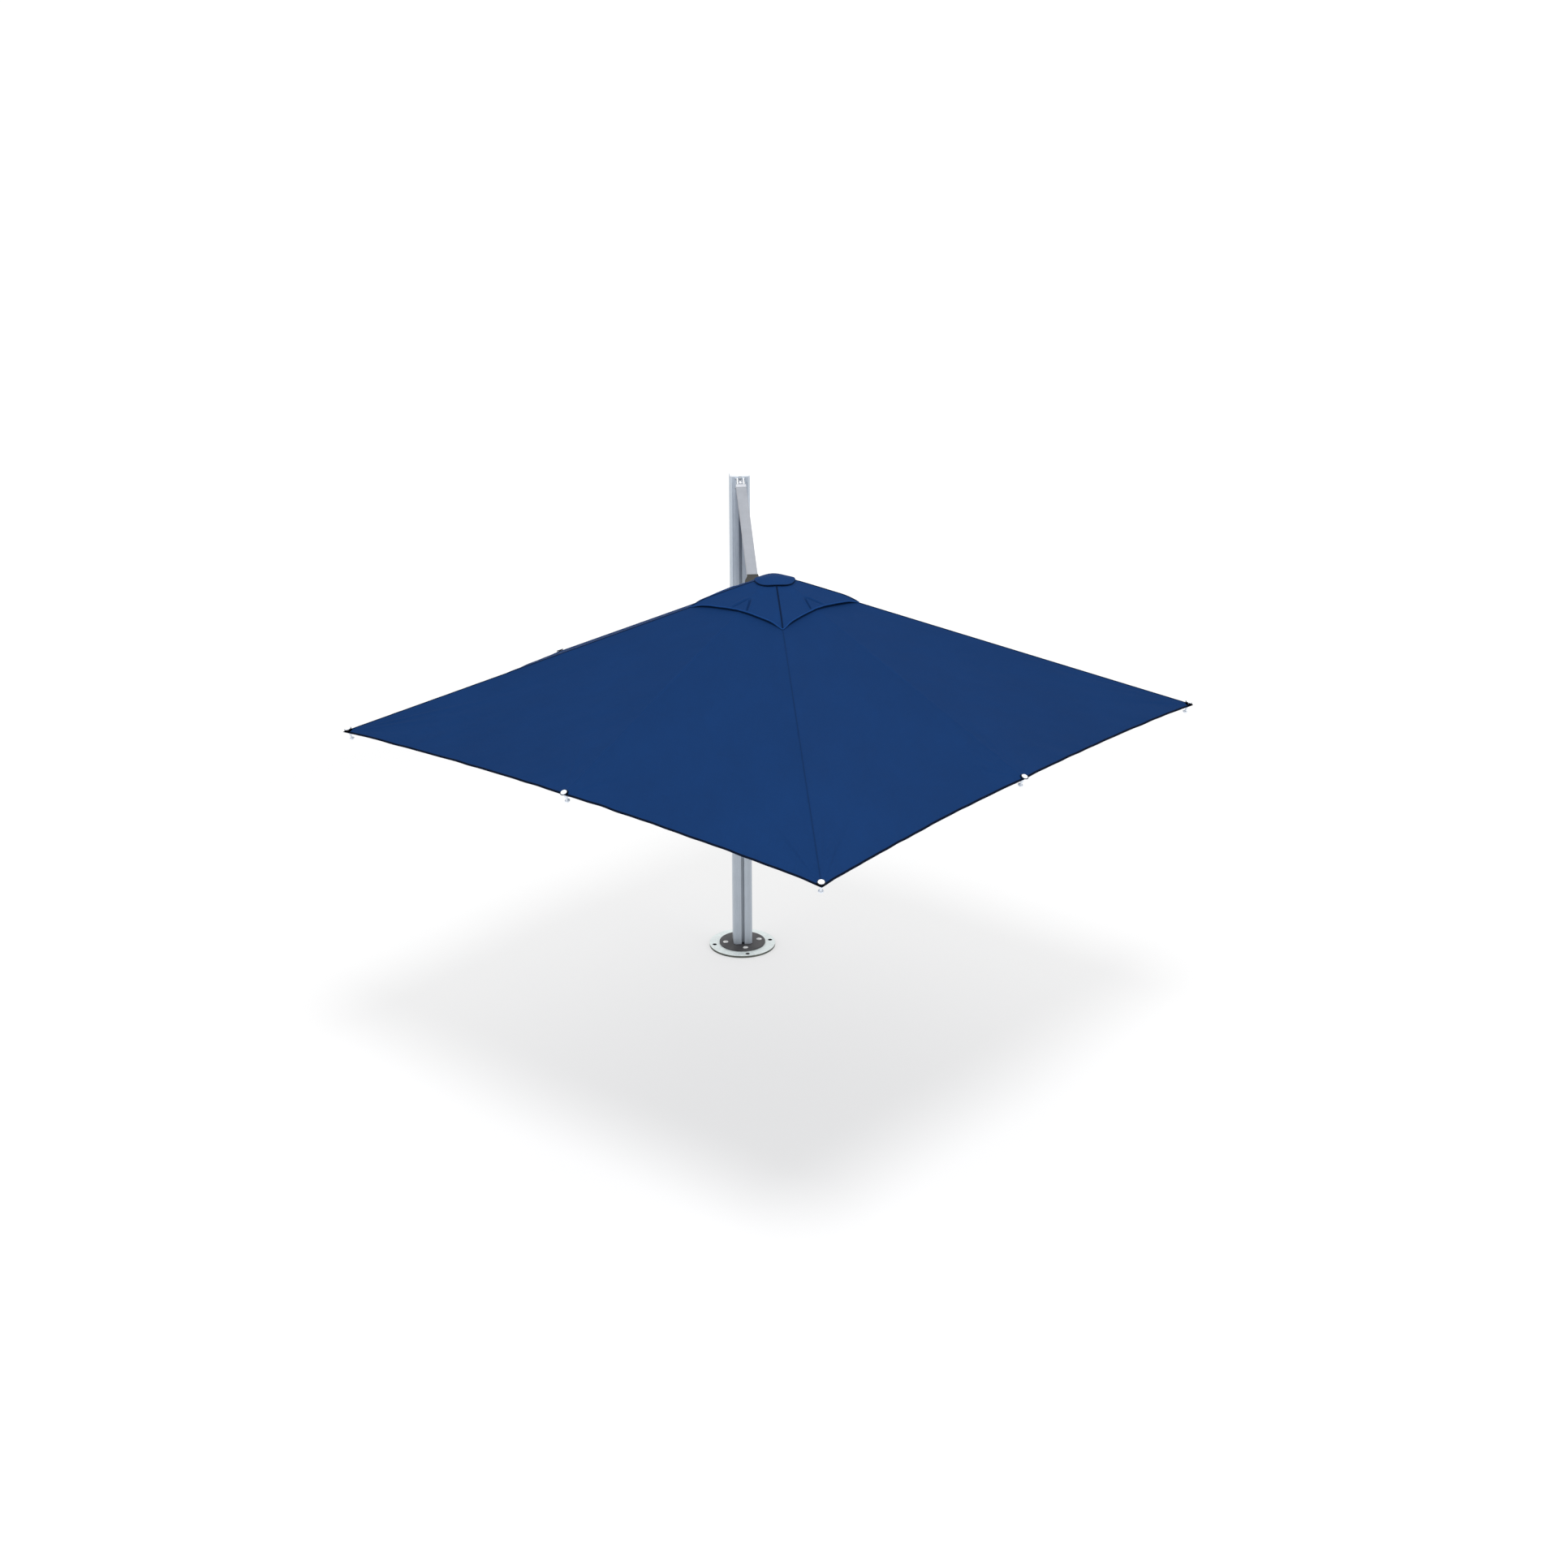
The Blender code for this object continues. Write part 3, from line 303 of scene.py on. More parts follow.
NAVY = (0.0040, 0.0228, 0.0850)
ALONG_Z = (1, 1, 0.02)
CANVAS = canvas_finish("canvas", NAVY)
# painted light: the vent cap's and crown cap's canvas are paler copies of the canvas, for the lighter tops
CANVAS_VENT_PAINTED_LIGHT = canvas_finish("canvas_vent", shade(NAVY, 1.08))
CANVAS_CROWN_PAINTED_LIGHT = canvas_finish("canvas_crown", shade(NAVY, 1.12))
# painted shade: the hem is a near-black copy of the canvas, for the dark line along the canopy's edges
CANVAS_HEM_PAINTED_SHADE = canvas_finish("canvas_hem", shade(NAVY, 0.12), rows=(0.0020, 0.0082))
CANVAS_TAPE = canvas_finish("canvas_tape", shade(NAVY, 0.96), rows=(-0.0062, 0.0062), pitch=0.0016)
# painted highlight: the piping is a paler copy of the canvas, for its lit upper edge
CANVAS_PIPING_PAINTED_HIGHLIGHT = canvas_finish("canvas_piping", shade(NAVY, 1.5), pitch=0.0014)
CANVAS_SEAM = canvas_finish("canvas_seam", shade(NAVY, 0.72), rows=(-0.0030, 0.0030), pitch=0.0013)
# painted shade: a dark copy of the canvas, for the crown cap's lower rim and the shaded side of raised seams
CANVAS_PAINTED_SHADE = canvas_finish("canvas_rim", shade(NAVY, 0.36), pitch=0.0013)
EYELET_WEBBING = canvas_finish("webbing", shade(NAVY, 0.22), pitch=0.0022)
MAST_METAL = metal_finish("anodised_mast", (0.44, 0.49, 0.55), 0.42, ALONG_Z, 0.4, 0.06)
RIB_METAL = metal_finish("anodised_rib", (0.42, 0.46, 0.50), 0.36, (1, 1, 1))
BOLT_ZINC = metal_finish("bright_zinc", (0.80, 0.80, 0.79), 0.42, (1, 1, 1), 0.35, 0.06)
STEEL = metal_finish("stainless", (0.58, 0.59, 0.61), 0.27, (1, 1, 1), 1.0, 0.07)
ZINC = galvanised_finish("galvanised", (0.80, 0.87, 0.86))
# painted shade: a darker copy of the plate's zinc for its side walls, for the shadowed floor that they reflect
ZINC_SIDE_PAINTED_SHADE = coated_finish("plate_edge", (0.115, 0.122, 0.105), 0.55, 180, 0.0002, 0.3, 0.5)
CASTING = coated_finish("dark_casting", (0.064, 0.062, 0.066), 0.62, 240, 0.0002, 0.28, 0.1,
                        (0.16, 0.16, 0.17))
ALLOY = coated_finish("dark_alloy", (0.040, 0.041, 0.045), 0.5, 300, 0.00012, 0.18, 0.2, (0.18, 0.18, 0.19))
ARM_COAT = coated_finish("grey_arm", (0.268, 0.283, 0.315), 0.42, 420, 0.00006, 0.05, 0.1, (0.5, 0.5, 0.52))
FORK_COAT = coated_finish("fork_casting", (0.026, 0.025, 0.021), 0.6, 260, 0.0002, 0.2, 0.15,
                          (0.17, 0.16, 0.14))
BRACKET_COAT = coated_finish("pale_bracket", (0.80, 0.82, 0.85), 0.38, 400, 0.00006, 0.05, 0.1)
RIB_WEBBING = coated_finish("rib_webbing", NAVY, 0.85, 900, 0.0001, 0.12)
COLLAR_COAT = coated_finish("pale_collar", (0.46, 0.475, 0.51), 0.4, 400, 0.00006, 0.05, 0.1)
CAP_PLASTIC = coated_finish("pale_cap", (0.72, 0.75, 0.79), 0.4, 500, 0.00004, 0.04)
WHITE_PLASTIC = coated_finish("white_tip", (0.74, 0.79, 0.86), 0.24, 500, 0.00003, 0.04)
RING_RUBBER = coated_finish("ring_rubber", (0.0035, 0.0060, 0.0170), 0.6, 600, 0.00006, 0.15)
NYLON = coated_finish("black_nylon", (0.018, 0.018, 0.020), 0.5, 600, 0.00008, 0.2, 0.0, (0.06, 0.06, 0.065))

NODE_FINISH = {
    "galvanised_plate": ZINC, "dark_casting": CASTING, "bright_steel": STEEL,
    "anodised_mast": MAST_METAL, "pale_cap": CAP_PLASTIC, "pale_bracket": BRACKET_COAT,
    "black_polymer": NYLON, "grey_arm": ARM_COAT, "dark_fork": FORK_COAT,
    "dark_alloy": ALLOY, "navy_cap": CANVAS_VENT_PAINTED_LIGHT, "navy_canvas": CANVAS,
    "anodised_rib": RIB_METAL, "white_tip": WHITE_PLASTIC,
}


# Shape helpers

def circle(centre, radius, count):
    return [(centre[0] + radius * cos(2 * pi * i / count),
             centre[1] + radius * sin(2 * pi * i / count)) for i in range(count)]


def arc_corner(centre, radius, start, count=6):
    """Points of a quarter circle, from the start angle, anticlockwise."""
    return [(centre[0] + radius * cos(start + pi / 2 * i / count),
             centre[1] + radius * sin(start + pi / 2 * i / count)) for i in range(count + 1)]


def rounded_rectangle(low, high, bend, count=6):
    """An outline from a low corner to a high one, anticlockwise from the high corner."""
    (x0, y0), (x1, y1) = low, high
    left, right, bottom, top = x0 + bend, x1 - bend, y0 + bend, y1 - bend
    corners = ((right, top), (left, top), (left, bottom), (right, bottom))
    return [point for k, centre in enumerate(corners)
            for point in arc_corner(centre, bend, k * pi / 2, count)]


PLANES = {"xy": (Vector((1, 0, 0)), Vector((0, 1, 0)), Vector((0, 0, 1))),
          "xz": (Vector((1, 0, 0)), Vector((0, 0, 1)), Vector((0, 1, 0))),
          "yz": (Vector((0, 1, 0)), Vector((0, 0, 1)), Vector((1, 0, 0)))}


def extruded(loops, ends, plane="xy"):
    """A prism from an outline and any holes in it, between two offsets."""
    across, up, out = PLANES[plane]
    mesh = bmesh.new()
    edges = []
    for loop in loops:
        ring = [mesh.verts.new(across * u + up * v + out * ends[0]) for u, v in loop]
        edges += [mesh.edges.new((a, b)) for a, b in zip(ring, ring[1:] + ring[:1])]
    filled = bmesh.ops.triangle_fill(mesh, use_beauty=True, edges=edges)["geom"]
    region = [part for part in filled if isinstance(part, bmesh.types.BMFace)]
    walls = bmesh.ops.extrude_face_region(mesh, geom=region, use_keep_orig=True)["geom"]
    far_end = [part for part in walls if isinstance(part, bmesh.types.BMVert)]
    bmesh.ops.translate(mesh, verts=far_end, vec=out * (ends[1] - ends[0]))
    bmesh.ops.recalc_face_normals(mesh, faces=mesh.faces)
    bmesh.ops.dissolve_limit(mesh, angle_limit=radians(0.5), verts=mesh.verts, edges=mesh.edges)
    return mesh


def turned(profile, count=64):
    """A solid of revolution about z from (radius, height) points."""
    mesh = bmesh.new()
    line = [mesh.verts.new((radius, 0, height)) for radius, height in profile]
    edges = [mesh.edges.new(pair) for pair in zip(line, line[1:])]
    bmesh.ops.spin(mesh, geom=line + edges, cent=(0, 0, 0), axis=(0, 0, 1),
                   angle=2 * pi, steps=count, use_merge=True)
    bmesh.ops.remove_doubles(mesh, verts=mesh.verts, dist=0.000002)
    bmesh.ops.recalc_face_normals(mesh, faces=mesh.faces)
    return mesh


def skinned(mesh, rings, capped=True):
    """Faces from each ring of vertices to the next, and over the two ends."""
    for lower, upper in zip(rings, rings[1:]):
        for k in range(len(lower)):
            after = (k + 1) % len(lower)
            mesh.faces.new((lower[k], lower[after], upper[after], upper[k]))
    if capped:
        mesh.faces.new(rings[0][::-1])
        mesh.faces.new(rings[-1])
    bmesh.ops.recalc_face_normals(mesh, faces=mesh.faces)
    return mesh


def swept(path, radius, sides=16):
    """A tube along a list of points, with closed ends; its radius may be a function of the point."""
    mesh = bmesh.new()
    rings = []
    points = [Vector(p) for p in path]
    side = None
    for i, here in enumerate(points):
        ahead = (points[min(i + 1, len(points) - 1)] - points[max(i - 1, 0)]).normalized()
        if side is None:
            side = ahead.orthogonal().normalized()
        side = (side - ahead * side.dot(ahead)).normalized()
        other = ahead.cross(side)
        size = radius(i) if callable(radius) else radius
        rings.append([mesh.verts.new(here + side * size * cos(2 * pi * k / sides)
                                     + other * size * sin(2 * pi * k / sides)) for k in range(sides)])
    return skinned(mesh, rings)


def hexagon(radius, low, high):
    return extruded([circle((0, 0), radius, 6)], (low, high))


def moved(mesh, matrix):
    bmesh.ops.transform(mesh, matrix=matrix, verts=mesh.verts)
    return mesh


def joined(*meshes):
    """Several shapes in one mesh."""
    whole = meshes[0]
    for other in meshes[1:]:
        data = bpy.data.meshes.new("part")
        other.to_mesh(data)
        other.free()
        whole.from_mesh(data)
        bpy.data.meshes.remove(data)
    return whole


def along(direction, origin=(0, 0, 0)):
    """A matrix that takes +Z to a direction and the origin to a point."""
    turn = Vector((0, 0, 1)).rotation_difference(Vector(direction)).to_matrix().to_4x4()
    return Matrix.Translation(origin) @ turn


def rounded(item, width, segments=2, angle=28):
    modifier = item.modifiers.new("Bevel", "BEVEL")
    modifier.width = width
    modifier.segments = segments
    modifier.limit_method = "ANGLE"
    modifier.angle_limit = radians(angle)
    modifier.harden_normals = True
    return item


def placed(name, data):
    """A new object in the scene."""
    item = bpy.data.objects.new(name, data)
    bpy.context.scene.collection.objects.link(item)
    return item


def show(name, mesh, material, body, stands_for=(), smooth=40):
    """A finished piece that rides on a body and may stand for CAD nodes."""
    data = bpy.data.meshes.new(name)
    mesh.to_mesh(data)
    mesh.free()
    data.shade_smooth()
    data.set_sharp_from_angle(angle=radians(smooth))
    data.materials.append(material)
    item = placed(name, data)
    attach(item, body)
    if stands_for:
        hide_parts(*stands_for)
    return item


def stand_in(name, mesh, node_name, material=None, smooth=40):
    """A piece that stands for one CAD node, with that node's body and the finish of its slot."""
    slot = SLOTS[node_name]
    return show(name, mesh, material or NODE_FINISH[slot], BODY_OF[node_name], (node_name,), smooth)


def steel_head(name, outline, count, direction, place, body):
    """The turned head of a screw or rivet, on a body."""
    return show(name, moved(turned(outline, count), along(direction, place)), STEEL, body)


def softened(node_name, width, segments=3):
    """The CAD node's own shape with its edges rounded."""
    mesh = bmesh.new()
    mesh.from_mesh(frame["nodes"][node_name].data)
    bmesh.ops.remove_doubles(mesh, verts=mesh.verts, dist=0.00001)
    bmesh.ops.dissolve_limit(mesh, angle_limit=radians(0.5), verts=mesh.verts, edges=mesh.edges)
    return rounded(stand_in(node_name + "_finished", mesh, node_name), width, segments)


def middle(node_name):
    low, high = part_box(node_name)
    return (low + high) / 2


# Camera, floor and light

def make_stage():
    data = bpy.data.cameras.new("camera")
    data.lens = CAMERA_LENS
    data.clip_end = 200
    camera = placed("camera", data)
    camera.location = (sin(CAMERA_AZIMUTH) * CAMERA_DISTANCE, -cos(CAMERA_AZIMUTH) * CAMERA_DISTANCE,
                       CAMERA_HEIGHT)
    camera.rotation_euler = (pi / 2 - CAMERA_PITCH, 0, -CAMERA_HEADING)
    bpy.context.scene.camera = camera

    lamp = bpy.data.lights.new("softbox", "AREA")
    lamp.shape = "DISK"
    lamp.size = LAMP_SIZE
    lamp.energy = LAMP_POWER
    softbox = placed("softbox", lamp)
    softbox.location = LAMP_PLACE
    softbox.rotation_euler = (LAMP_TARGET - LAMP_PLACE).to_track_quat("-Z", "Y").to_euler()

    world = bpy.data.worlds.new("studio")
    world.use_nodes = True
    world.node_tree.nodes["Background"].inputs["Color"].default_value = (1, 1, 1, 1)
    world.node_tree.nodes["Background"].inputs["Strength"].default_value = SKY_STRENGTH
    bpy.context.scene.world = world
    bpy.context.scene.view_settings.view_transform = "Standard"

    mesh = bmesh.new()
    bmesh.ops.create_grid(mesh, x_segments=1, y_segments=1, size=FLOOR_HALF)
    data = bpy.data.meshes.new("floor")
    mesh.to_mesh(data)
    mesh.free()
    material, tree, shader = finish("floor", (FLOOR_TONE,) * 3, 0.9, Specular_IOR_Level=0.1)
    shader.inputs["Emission Color"].default_value = (1, 1, 1, 1)
    distance = node(tree, "VectorMath", {"operation": "LENGTH"}, i0=place_vector(tree)).outputs[1]
    glow = span(tree, distance, FLOOR_GLOW, FLOOR_GLOW_FAR, *GLOW_RISES)
    tree.links.new(glow, shader.inputs["Emission Strength"])
    data.materials.append(material)
    placed("floor", data)


# Foot

def make_foot():
    low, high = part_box("base_plate")
    radius, thick = (high.x - low.x) / 2, high.z - low.z
    rim = 0.0022
    plate = [(0, SHADE_SHEET_THICK), (radius - 0.001, SHADE_SHEET_THICK), (radius, SHADE_SHEET_THICK + 0.001)]
    plate += [*arc_corner((radius - rim, thick - rim), rim, 0, 4), (0, thick)]
    plate = stand_in("base_plate_finished", turned(plate, 160), "base_plate")
    # painted shade: the plate's upright walls take the darker finish
    plate.data.materials.append(ZINC_SIDE_PAINTED_SHADE)
    for face in plate.data.polygons:
        if abs(face.normal.z) < 0.3:
            face.material_index = 1
    # painted shade: a black sheet under the plate, seen through its holes
    inside, top = radius - 0.004, SHADE_SHEET_THICK - 0.0001
    shade_sheet = turned([(0, 0), (inside, 0), (inside, top), (0, top)], 96)
    show("plate_lining", shade_sheet, NYLON, BODY_OF["base_plate"])
    holes = [opening for opening in frame["record"]["physics"]["openings"]
             if opening["name"].startswith("anchor_hole")]
    for i, hole in enumerate(holes):
        (x0, y0, _), (x1, y1, _) = hole["box_m"]
        wide = HOLE_RADIUS + 0.0012
        cutter = turned([(0, -0.002), (HOLE_RADIUS, -0.002), (HOLE_RADIUS, thick - 0.0012),
                         (wide, thick + 0.0001), (wide, thick + 0.003), (0, thick + 0.003)], 40)
        drilled(plate, moved(cutter, Matrix.Translation(((x0 + x1) / 2, (y0 + y1) / 2, 0))), f"hole_{i}")
    # painted shade: the hole walls take the black nylon finish, so that the holes look dark
    plate.data.materials.append(NYLON)
    for face in plate.data.polygons:
        if abs(face.normal.z) < 0.95 and face.center.xy.length < radius - 0.010:
            face.material_index = 2

    low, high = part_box("foot_flange")
    radius, edge = (high.x - low.x) / 2, 0.0025
    disc = [(0, low.z), (radius, low.z)]
    disc += [*arc_corner((radius - edge, high.z - edge), edge, 0, 4), (0, high.z)]
    stand_in("foot_flange_finished", turned(disc, 128), "foot_flange")
    top = high.z

    for i in range(1, 5):
        name = f"flange_bolt_{i}"
        low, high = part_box(name)
        where = Matrix.Translation((middle(name).x, middle(name).y, top))
        outer = (high.x - low.x) / 2
        washer = [(0, 0.0002), (outer - 0.0003, 0.0002), (outer, 0.0006), (outer, 0.0016),
                  (outer - 0.0006, 0.0022), (0, 0.0022)]
        head = [(0, 0.0022), (0.0118, 0.0022), (0.0120, 0.0028), (0.0108, 0.0046), (0.0080, 0.0058),
                (0.0044, 0.0063), (0.0038, 0.0061), (0.0034, 0.0036), (0, 0.0034)]
        bolt = joined(turned(washer, 48), turned(head, 40))
        stand_in(f"{name}_finished", moved(bolt, where), name, BOLT_ZINC)


def drilled(item, cutter, name):
    """Cuts a shape from a piece, and applies the cut."""
    data = bpy.data.meshes.new(name)
    cutter.to_mesh(data)
    cutter.free()
    tool = placed(name, data)
    modifier = item.modifiers.new("Cut", "BOOLEAN")
    modifier.operation = "DIFFERENCE"
    modifier.solver = "EXACT"
    modifier.object = tool
    bpy.context.view_layer.update()
    result = bpy.data.meshes.new_from_object(item.evaluated_get(bpy.context.evaluated_depsgraph_get()))
    item.modifiers.remove(modifier)
    item.data = result
    bpy.data.objects.remove(tool, do_unlink=True)


# Mast and its head

def mast_outline(half, cham, slot_half, lip, channel_half, floor):
    """Half of the mast's outline, from the slot's floor round the right side to the back's middle."""
    bend, groove, step = 0.0012, 0.0011, 0.0035
    line = [(0, floor), (channel_half, floor), (channel_half, half - lip), (slot_half, half - lip),
            (slot_half, half - bend), (slot_half + bend, half)]
    flat_end = half - cham
    line += [(flat_end - 0.009 - step, half), (flat_end - 0.009 - step / 2, half - groove),
             (flat_end - 0.009, half), (flat_end, half), (half, flat_end)]
    for centre in (0.026, -0.026):
        line += [(half, centre + step / 2), (half - groove, centre), (half, centre - step / 2)]
    line += [(half, -flat_end), (flat_end, -half), (0, -half)]
    return line


def make_mast():
    low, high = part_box("mast_profile")
    half = (high.x - low.x) / 2
    right = mast_outline(half, 0.012, 0.009, 0.006, 0.020, half - 0.028)
    outline = right + [(-x, y) for x, y in reversed(right[1:-1])]
    # the slot's face looks along -Y
    outline = [(-x, -y) for x, y in outline]
    inner, side = half - 0.004, 0.024
    back = -(half - 0.028 - 0.004)
    flat = inner - 0.010
    hollow = [(-flat, inner), (flat, inner), (inner, flat), (inner, -flat), (flat, -inner), (side, -inner),
              (side, back), (-side, back), (-side, -inner), (-flat, -inner), (-inner, -flat), (-inner, flat)]
    profile = stand_in("mast_profile_finished", extruded([outline, hollow], (low.z, high.z)), "mast_profile")
    rounded(profile, 0.0008, 2, 25)

    low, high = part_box("mast_cap")
    half, cut, crown = (high.x - low.x) / 2, 0.012, 0.0016
    mesh = bmesh.new()
    rings = []
    for inset, z in ((0, low.z), (0, high.z - 0.0045), (0.0008, high.z - 0.0028),
                     (0.0028, high.z - crown - 0.0004), (0.006, high.z - crown), (half * 0.55, high.z)):
        size = half - inset
        corner = max(cut - inset * 0.6, 0.004)
        flat = size - corner
        ring = [(flat, -size), (size, -flat), (size, flat), (flat, size),
                (-flat, size), (-size, flat), (-size, -flat), (-flat, -size)]
        rings.append([mesh.verts.new((x, y, z)) for x, y in ring])
    rounded(stand_in("mast_cap_finished", skinned(mesh, rings), "mast_cap"), 0.0008, 2, 15)

    make_bracket()
    through_bolt("top_pin", 0.0095)
    for name in ("bush_lower", "bush_upper", "swivel_spindle"):
        materials = frame["nodes"][name].data.materials
        materials.clear()
        materials.append(NODE_FINISH[SLOTS[name]])


def make_bracket():
    """A screwed plate with two rounded cheeks, which the link's nose turns between."""
    low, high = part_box("top_bracket")
    hinge = pivot("arm_fold")
    back, front = high.y, high.y - 0.006
    outline = rounded_rectangle((low.x, low.z), (high.x, high.z), 0.008)
    plate = stand_in("top_bracket_plate", extruded([outline], (front, back), "xz"), "top_bracket", MAST_METAL)
    rounded(plate, 0.0010, 2)
    turns = np.linspace(radians(25), radians(150), 12)
    nose = [(hinge.y - 0.0140 * sin(a), hinge.z + 0.0140 * cos(a)) for a in turns]
    profile = [(front - 0.0005, high.z - 0.001), (hinge.y + 0.012, high.z - 0.004), *nose,
               (hinge.y + 0.0120, 2.9500), (hinge.y + 0.0200, 2.9400), (hinge.y + 0.0280, 2.9320),
               (front - 0.0005, low.z + 0.0025)]
    for side, name in ((-1, "left"), (1, "right")):
        inner = side * CHEEK_INNER
        cheek = extruded([profile], sorted((inner, inner + side * CHEEK_THICK)), "yz")
        cheek = show(f"bracket_cheek_{name}", cheek, BRACKET_COAT, "mast")
        rounded(cheek, 0.0022, 3, 30)
    places = ((-0.0245, 0.010), (0.0245, 0.010), (-0.0245, 0.063), (0.0245, 0.063), (0, 0.064))
    for i, (x, z) in enumerate(places):
        size = 1.35 if x == 0 else 1
        head = [(0, 0), (0.0044 * size, 0), (0.0044 * size, 0.0016), (0.0036 * size, 0.0030),
                (0.0022 * size, 0.0032), (0.0020 * size, 0.0014), (0, 0.0014)]
        steel_head(f"bracket_screw_{i + 1}", head, 24, (0, -1, 0), (x, front, low.z + z), "mast")

    rims = [circle((hinge.y, hinge.z), NOSE_RADIUS, 64), circle((hinge.y, hinge.z), 0.0128, 48)]
    half = CHEEK_INNER - 0.0008
    rounded(show("link_nose", extruded(rims, (-half, half), "yz"), ARM_COAT, "link"), 0.0012, 2)
    direction = Vector((0, -cos(NOSE_SCREW_TILT), sin(NOSE_SCREW_TILT)))
    head = [(0, -0.002), (0.0052, -0.002), (0.0052, 0.0012), (0.0042, 0.0024), (0.0026, 0.0026),
            (0.0024, 0.0008), (0, 0.0008)]
    steel_head("link_nose_screw", head, 28, direction, hinge + direction * (NOSE_RADIUS - 0.0005), "link")


def through_bolt(name, radius):
    """A bolt along X with washers, a hex head on the right and a lock nut on the left."""
    low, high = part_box(name)
    centre = middle(name)
    reach = (high.x - low.x) / 2
    shank = turned([(0, -reach + 0.0005), (0.005, -reach + 0.0005), (0.0058, -reach + 0.0018),
                    (0.0058, reach - 0.004), (0, reach - 0.004)], 32)
    washers = []
    for side in (-1, 1):
        ends = sorted((side * (reach - 0.0040), side * (reach - 0.0031)))
        washers.append(turned([(0, ends[0]), (radius, ends[0]), (radius, ends[1]), (0, ends[1])], 40))
    head = hexagon(radius * 0.95, reach - 0.0031, reach)
    nut = hexagon(radius * 0.95, -reach + 0.0012, -reach + 0.0031)
    mesh = joined(shank, *washers, head, nut)
    item = stand_in(f"{name}_finished", moved(mesh, along((1, 0, 0), centre)), name)
    return rounded(item, 0.0005, 2, 35)


# Arm

def make_arm():
    softened("link_bar", 0.0022)
    make_fork()
    for side in ("left", "right"):
        name = f"fork_pin_{side}"
        low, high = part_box(name)
        centre = middle(name)
        outward = 1 if centre.x > 0 else -1
        base = min(abs(low.x), abs(high.x))
        length = high.x - low.x
        profile = [(0, 0), (0.0058, 0), (0.0058, length - 0.0040), (0.0105, length - 0.0040),
                   (0.0105, length - 0.0014), (0.0092, length), (0.0048, length), (0.0040, length - 0.0018),
                   (0, length - 0.0018)]
        place = along((outward, 0, 0), (outward * base, centre.y, centre.z))
        stand_in(f"{name}_finished", moved(turned(profile, 48), place), name)
        softened(f"boom_rail_{side}", 0.0022)
        softened(f"drive_link_{side}", 0.0012)
    for name in ("boom_spacer_lower", "boom_spacer_upper"):
        softened(name, 0.0015)
    for name in ("hub_pin", "carriage_pin"):
        through_bolt(name, 0.0105)
    head = [(0, 0), (0.0058, 0), (0.0058, 0.0012), (0.0040, 0.0036), (0.0024, 0.0040), (0.0022, 0.0020),
            (0, 0.0020)]
    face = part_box("boom_rail_right")[1].x
    for name in ("boom_spacer_lower", "boom_spacer_upper"):
        centre = middle(name)
        for k, side in enumerate((-1, 1)):
            place = (side * face, centre.y, centre.z)
            steel_head(f"{name}_screw_{k + 1}", head, 28, (side, 0, 0), place, "boom")


def make_fork():
    """The dark fork, flared from the bar's width to its legs, and the pale collar at the bar's other end."""
    hinge, pin = pivot("arm_fold"), middle("fork_pin_left")
    out = Vector((0, pin.y - hinge.y, pin.z - hinge.z)).normalized()
    to_world = Matrix((Vector((1, 0, 0)), out.cross((1, 0, 0)), out)).transposed().to_4x4()
    to_world.translation = hinge
    points = [to_world.inverted() @ vertex.co for vertex in frame["nodes"]["link_fork"].data.vertices]
    start, end = min(p.z for p in points), max(p.z for p in points)
    depth, leg = max(p.y for p in points), max(p.x for p in points)
    root = max(p.x for p in points if p.z < start + 0.001)
    crotch, inner, flare = start + FORK_CROTCH, leg - 0.0115, leg + FORK_BULGE - root
    side = [(root - 0.001, start), (root, start + 0.002)]
    side += [(root + flare * t ** 1.7, start + 0.004 + 0.048 * t) for t in np.linspace(0, 1, 14)]
    side += [(leg + FORK_BULGE * (1 + cos(pi * t)) / 2, start + 0.056 + 0.030 * t)
             for t in np.linspace(0, 1, 9)]
    side += [(leg - 0.006 + 0.006 * cos(a), end - 0.006 + 0.006 * sin(a)) for a in np.linspace(0, pi / 2, 6)]
    side += [(inner + 0.002, end), (inner, end - 0.002), (inner, crotch + inner)]
    side += [(inner * cos(a), crotch + inner - inner * sin(a)) for a in np.linspace(0, pi / 2, 14)[1:]]
    outline = side + [(-x, z) for x, z in reversed(side[:-1])]
    fork = extruded([outline], (-depth, depth), "xz")
    rounded(stand_in("link_fork_finished", moved(fork, to_world), "link_fork"), 0.0035, 4, 35)

    half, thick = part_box("link_bar")[1].x + 0.0006, 0.0132
    ring = rounded_rectangle((-half, -thick), (half, thick), 0.004, 5)
    collar = moved(extruded([ring], (0.0228, 0.0475)), to_world)
    rounded(show("link_collar", collar, COLLAR_COAT, "link"), 0.0012, 2)


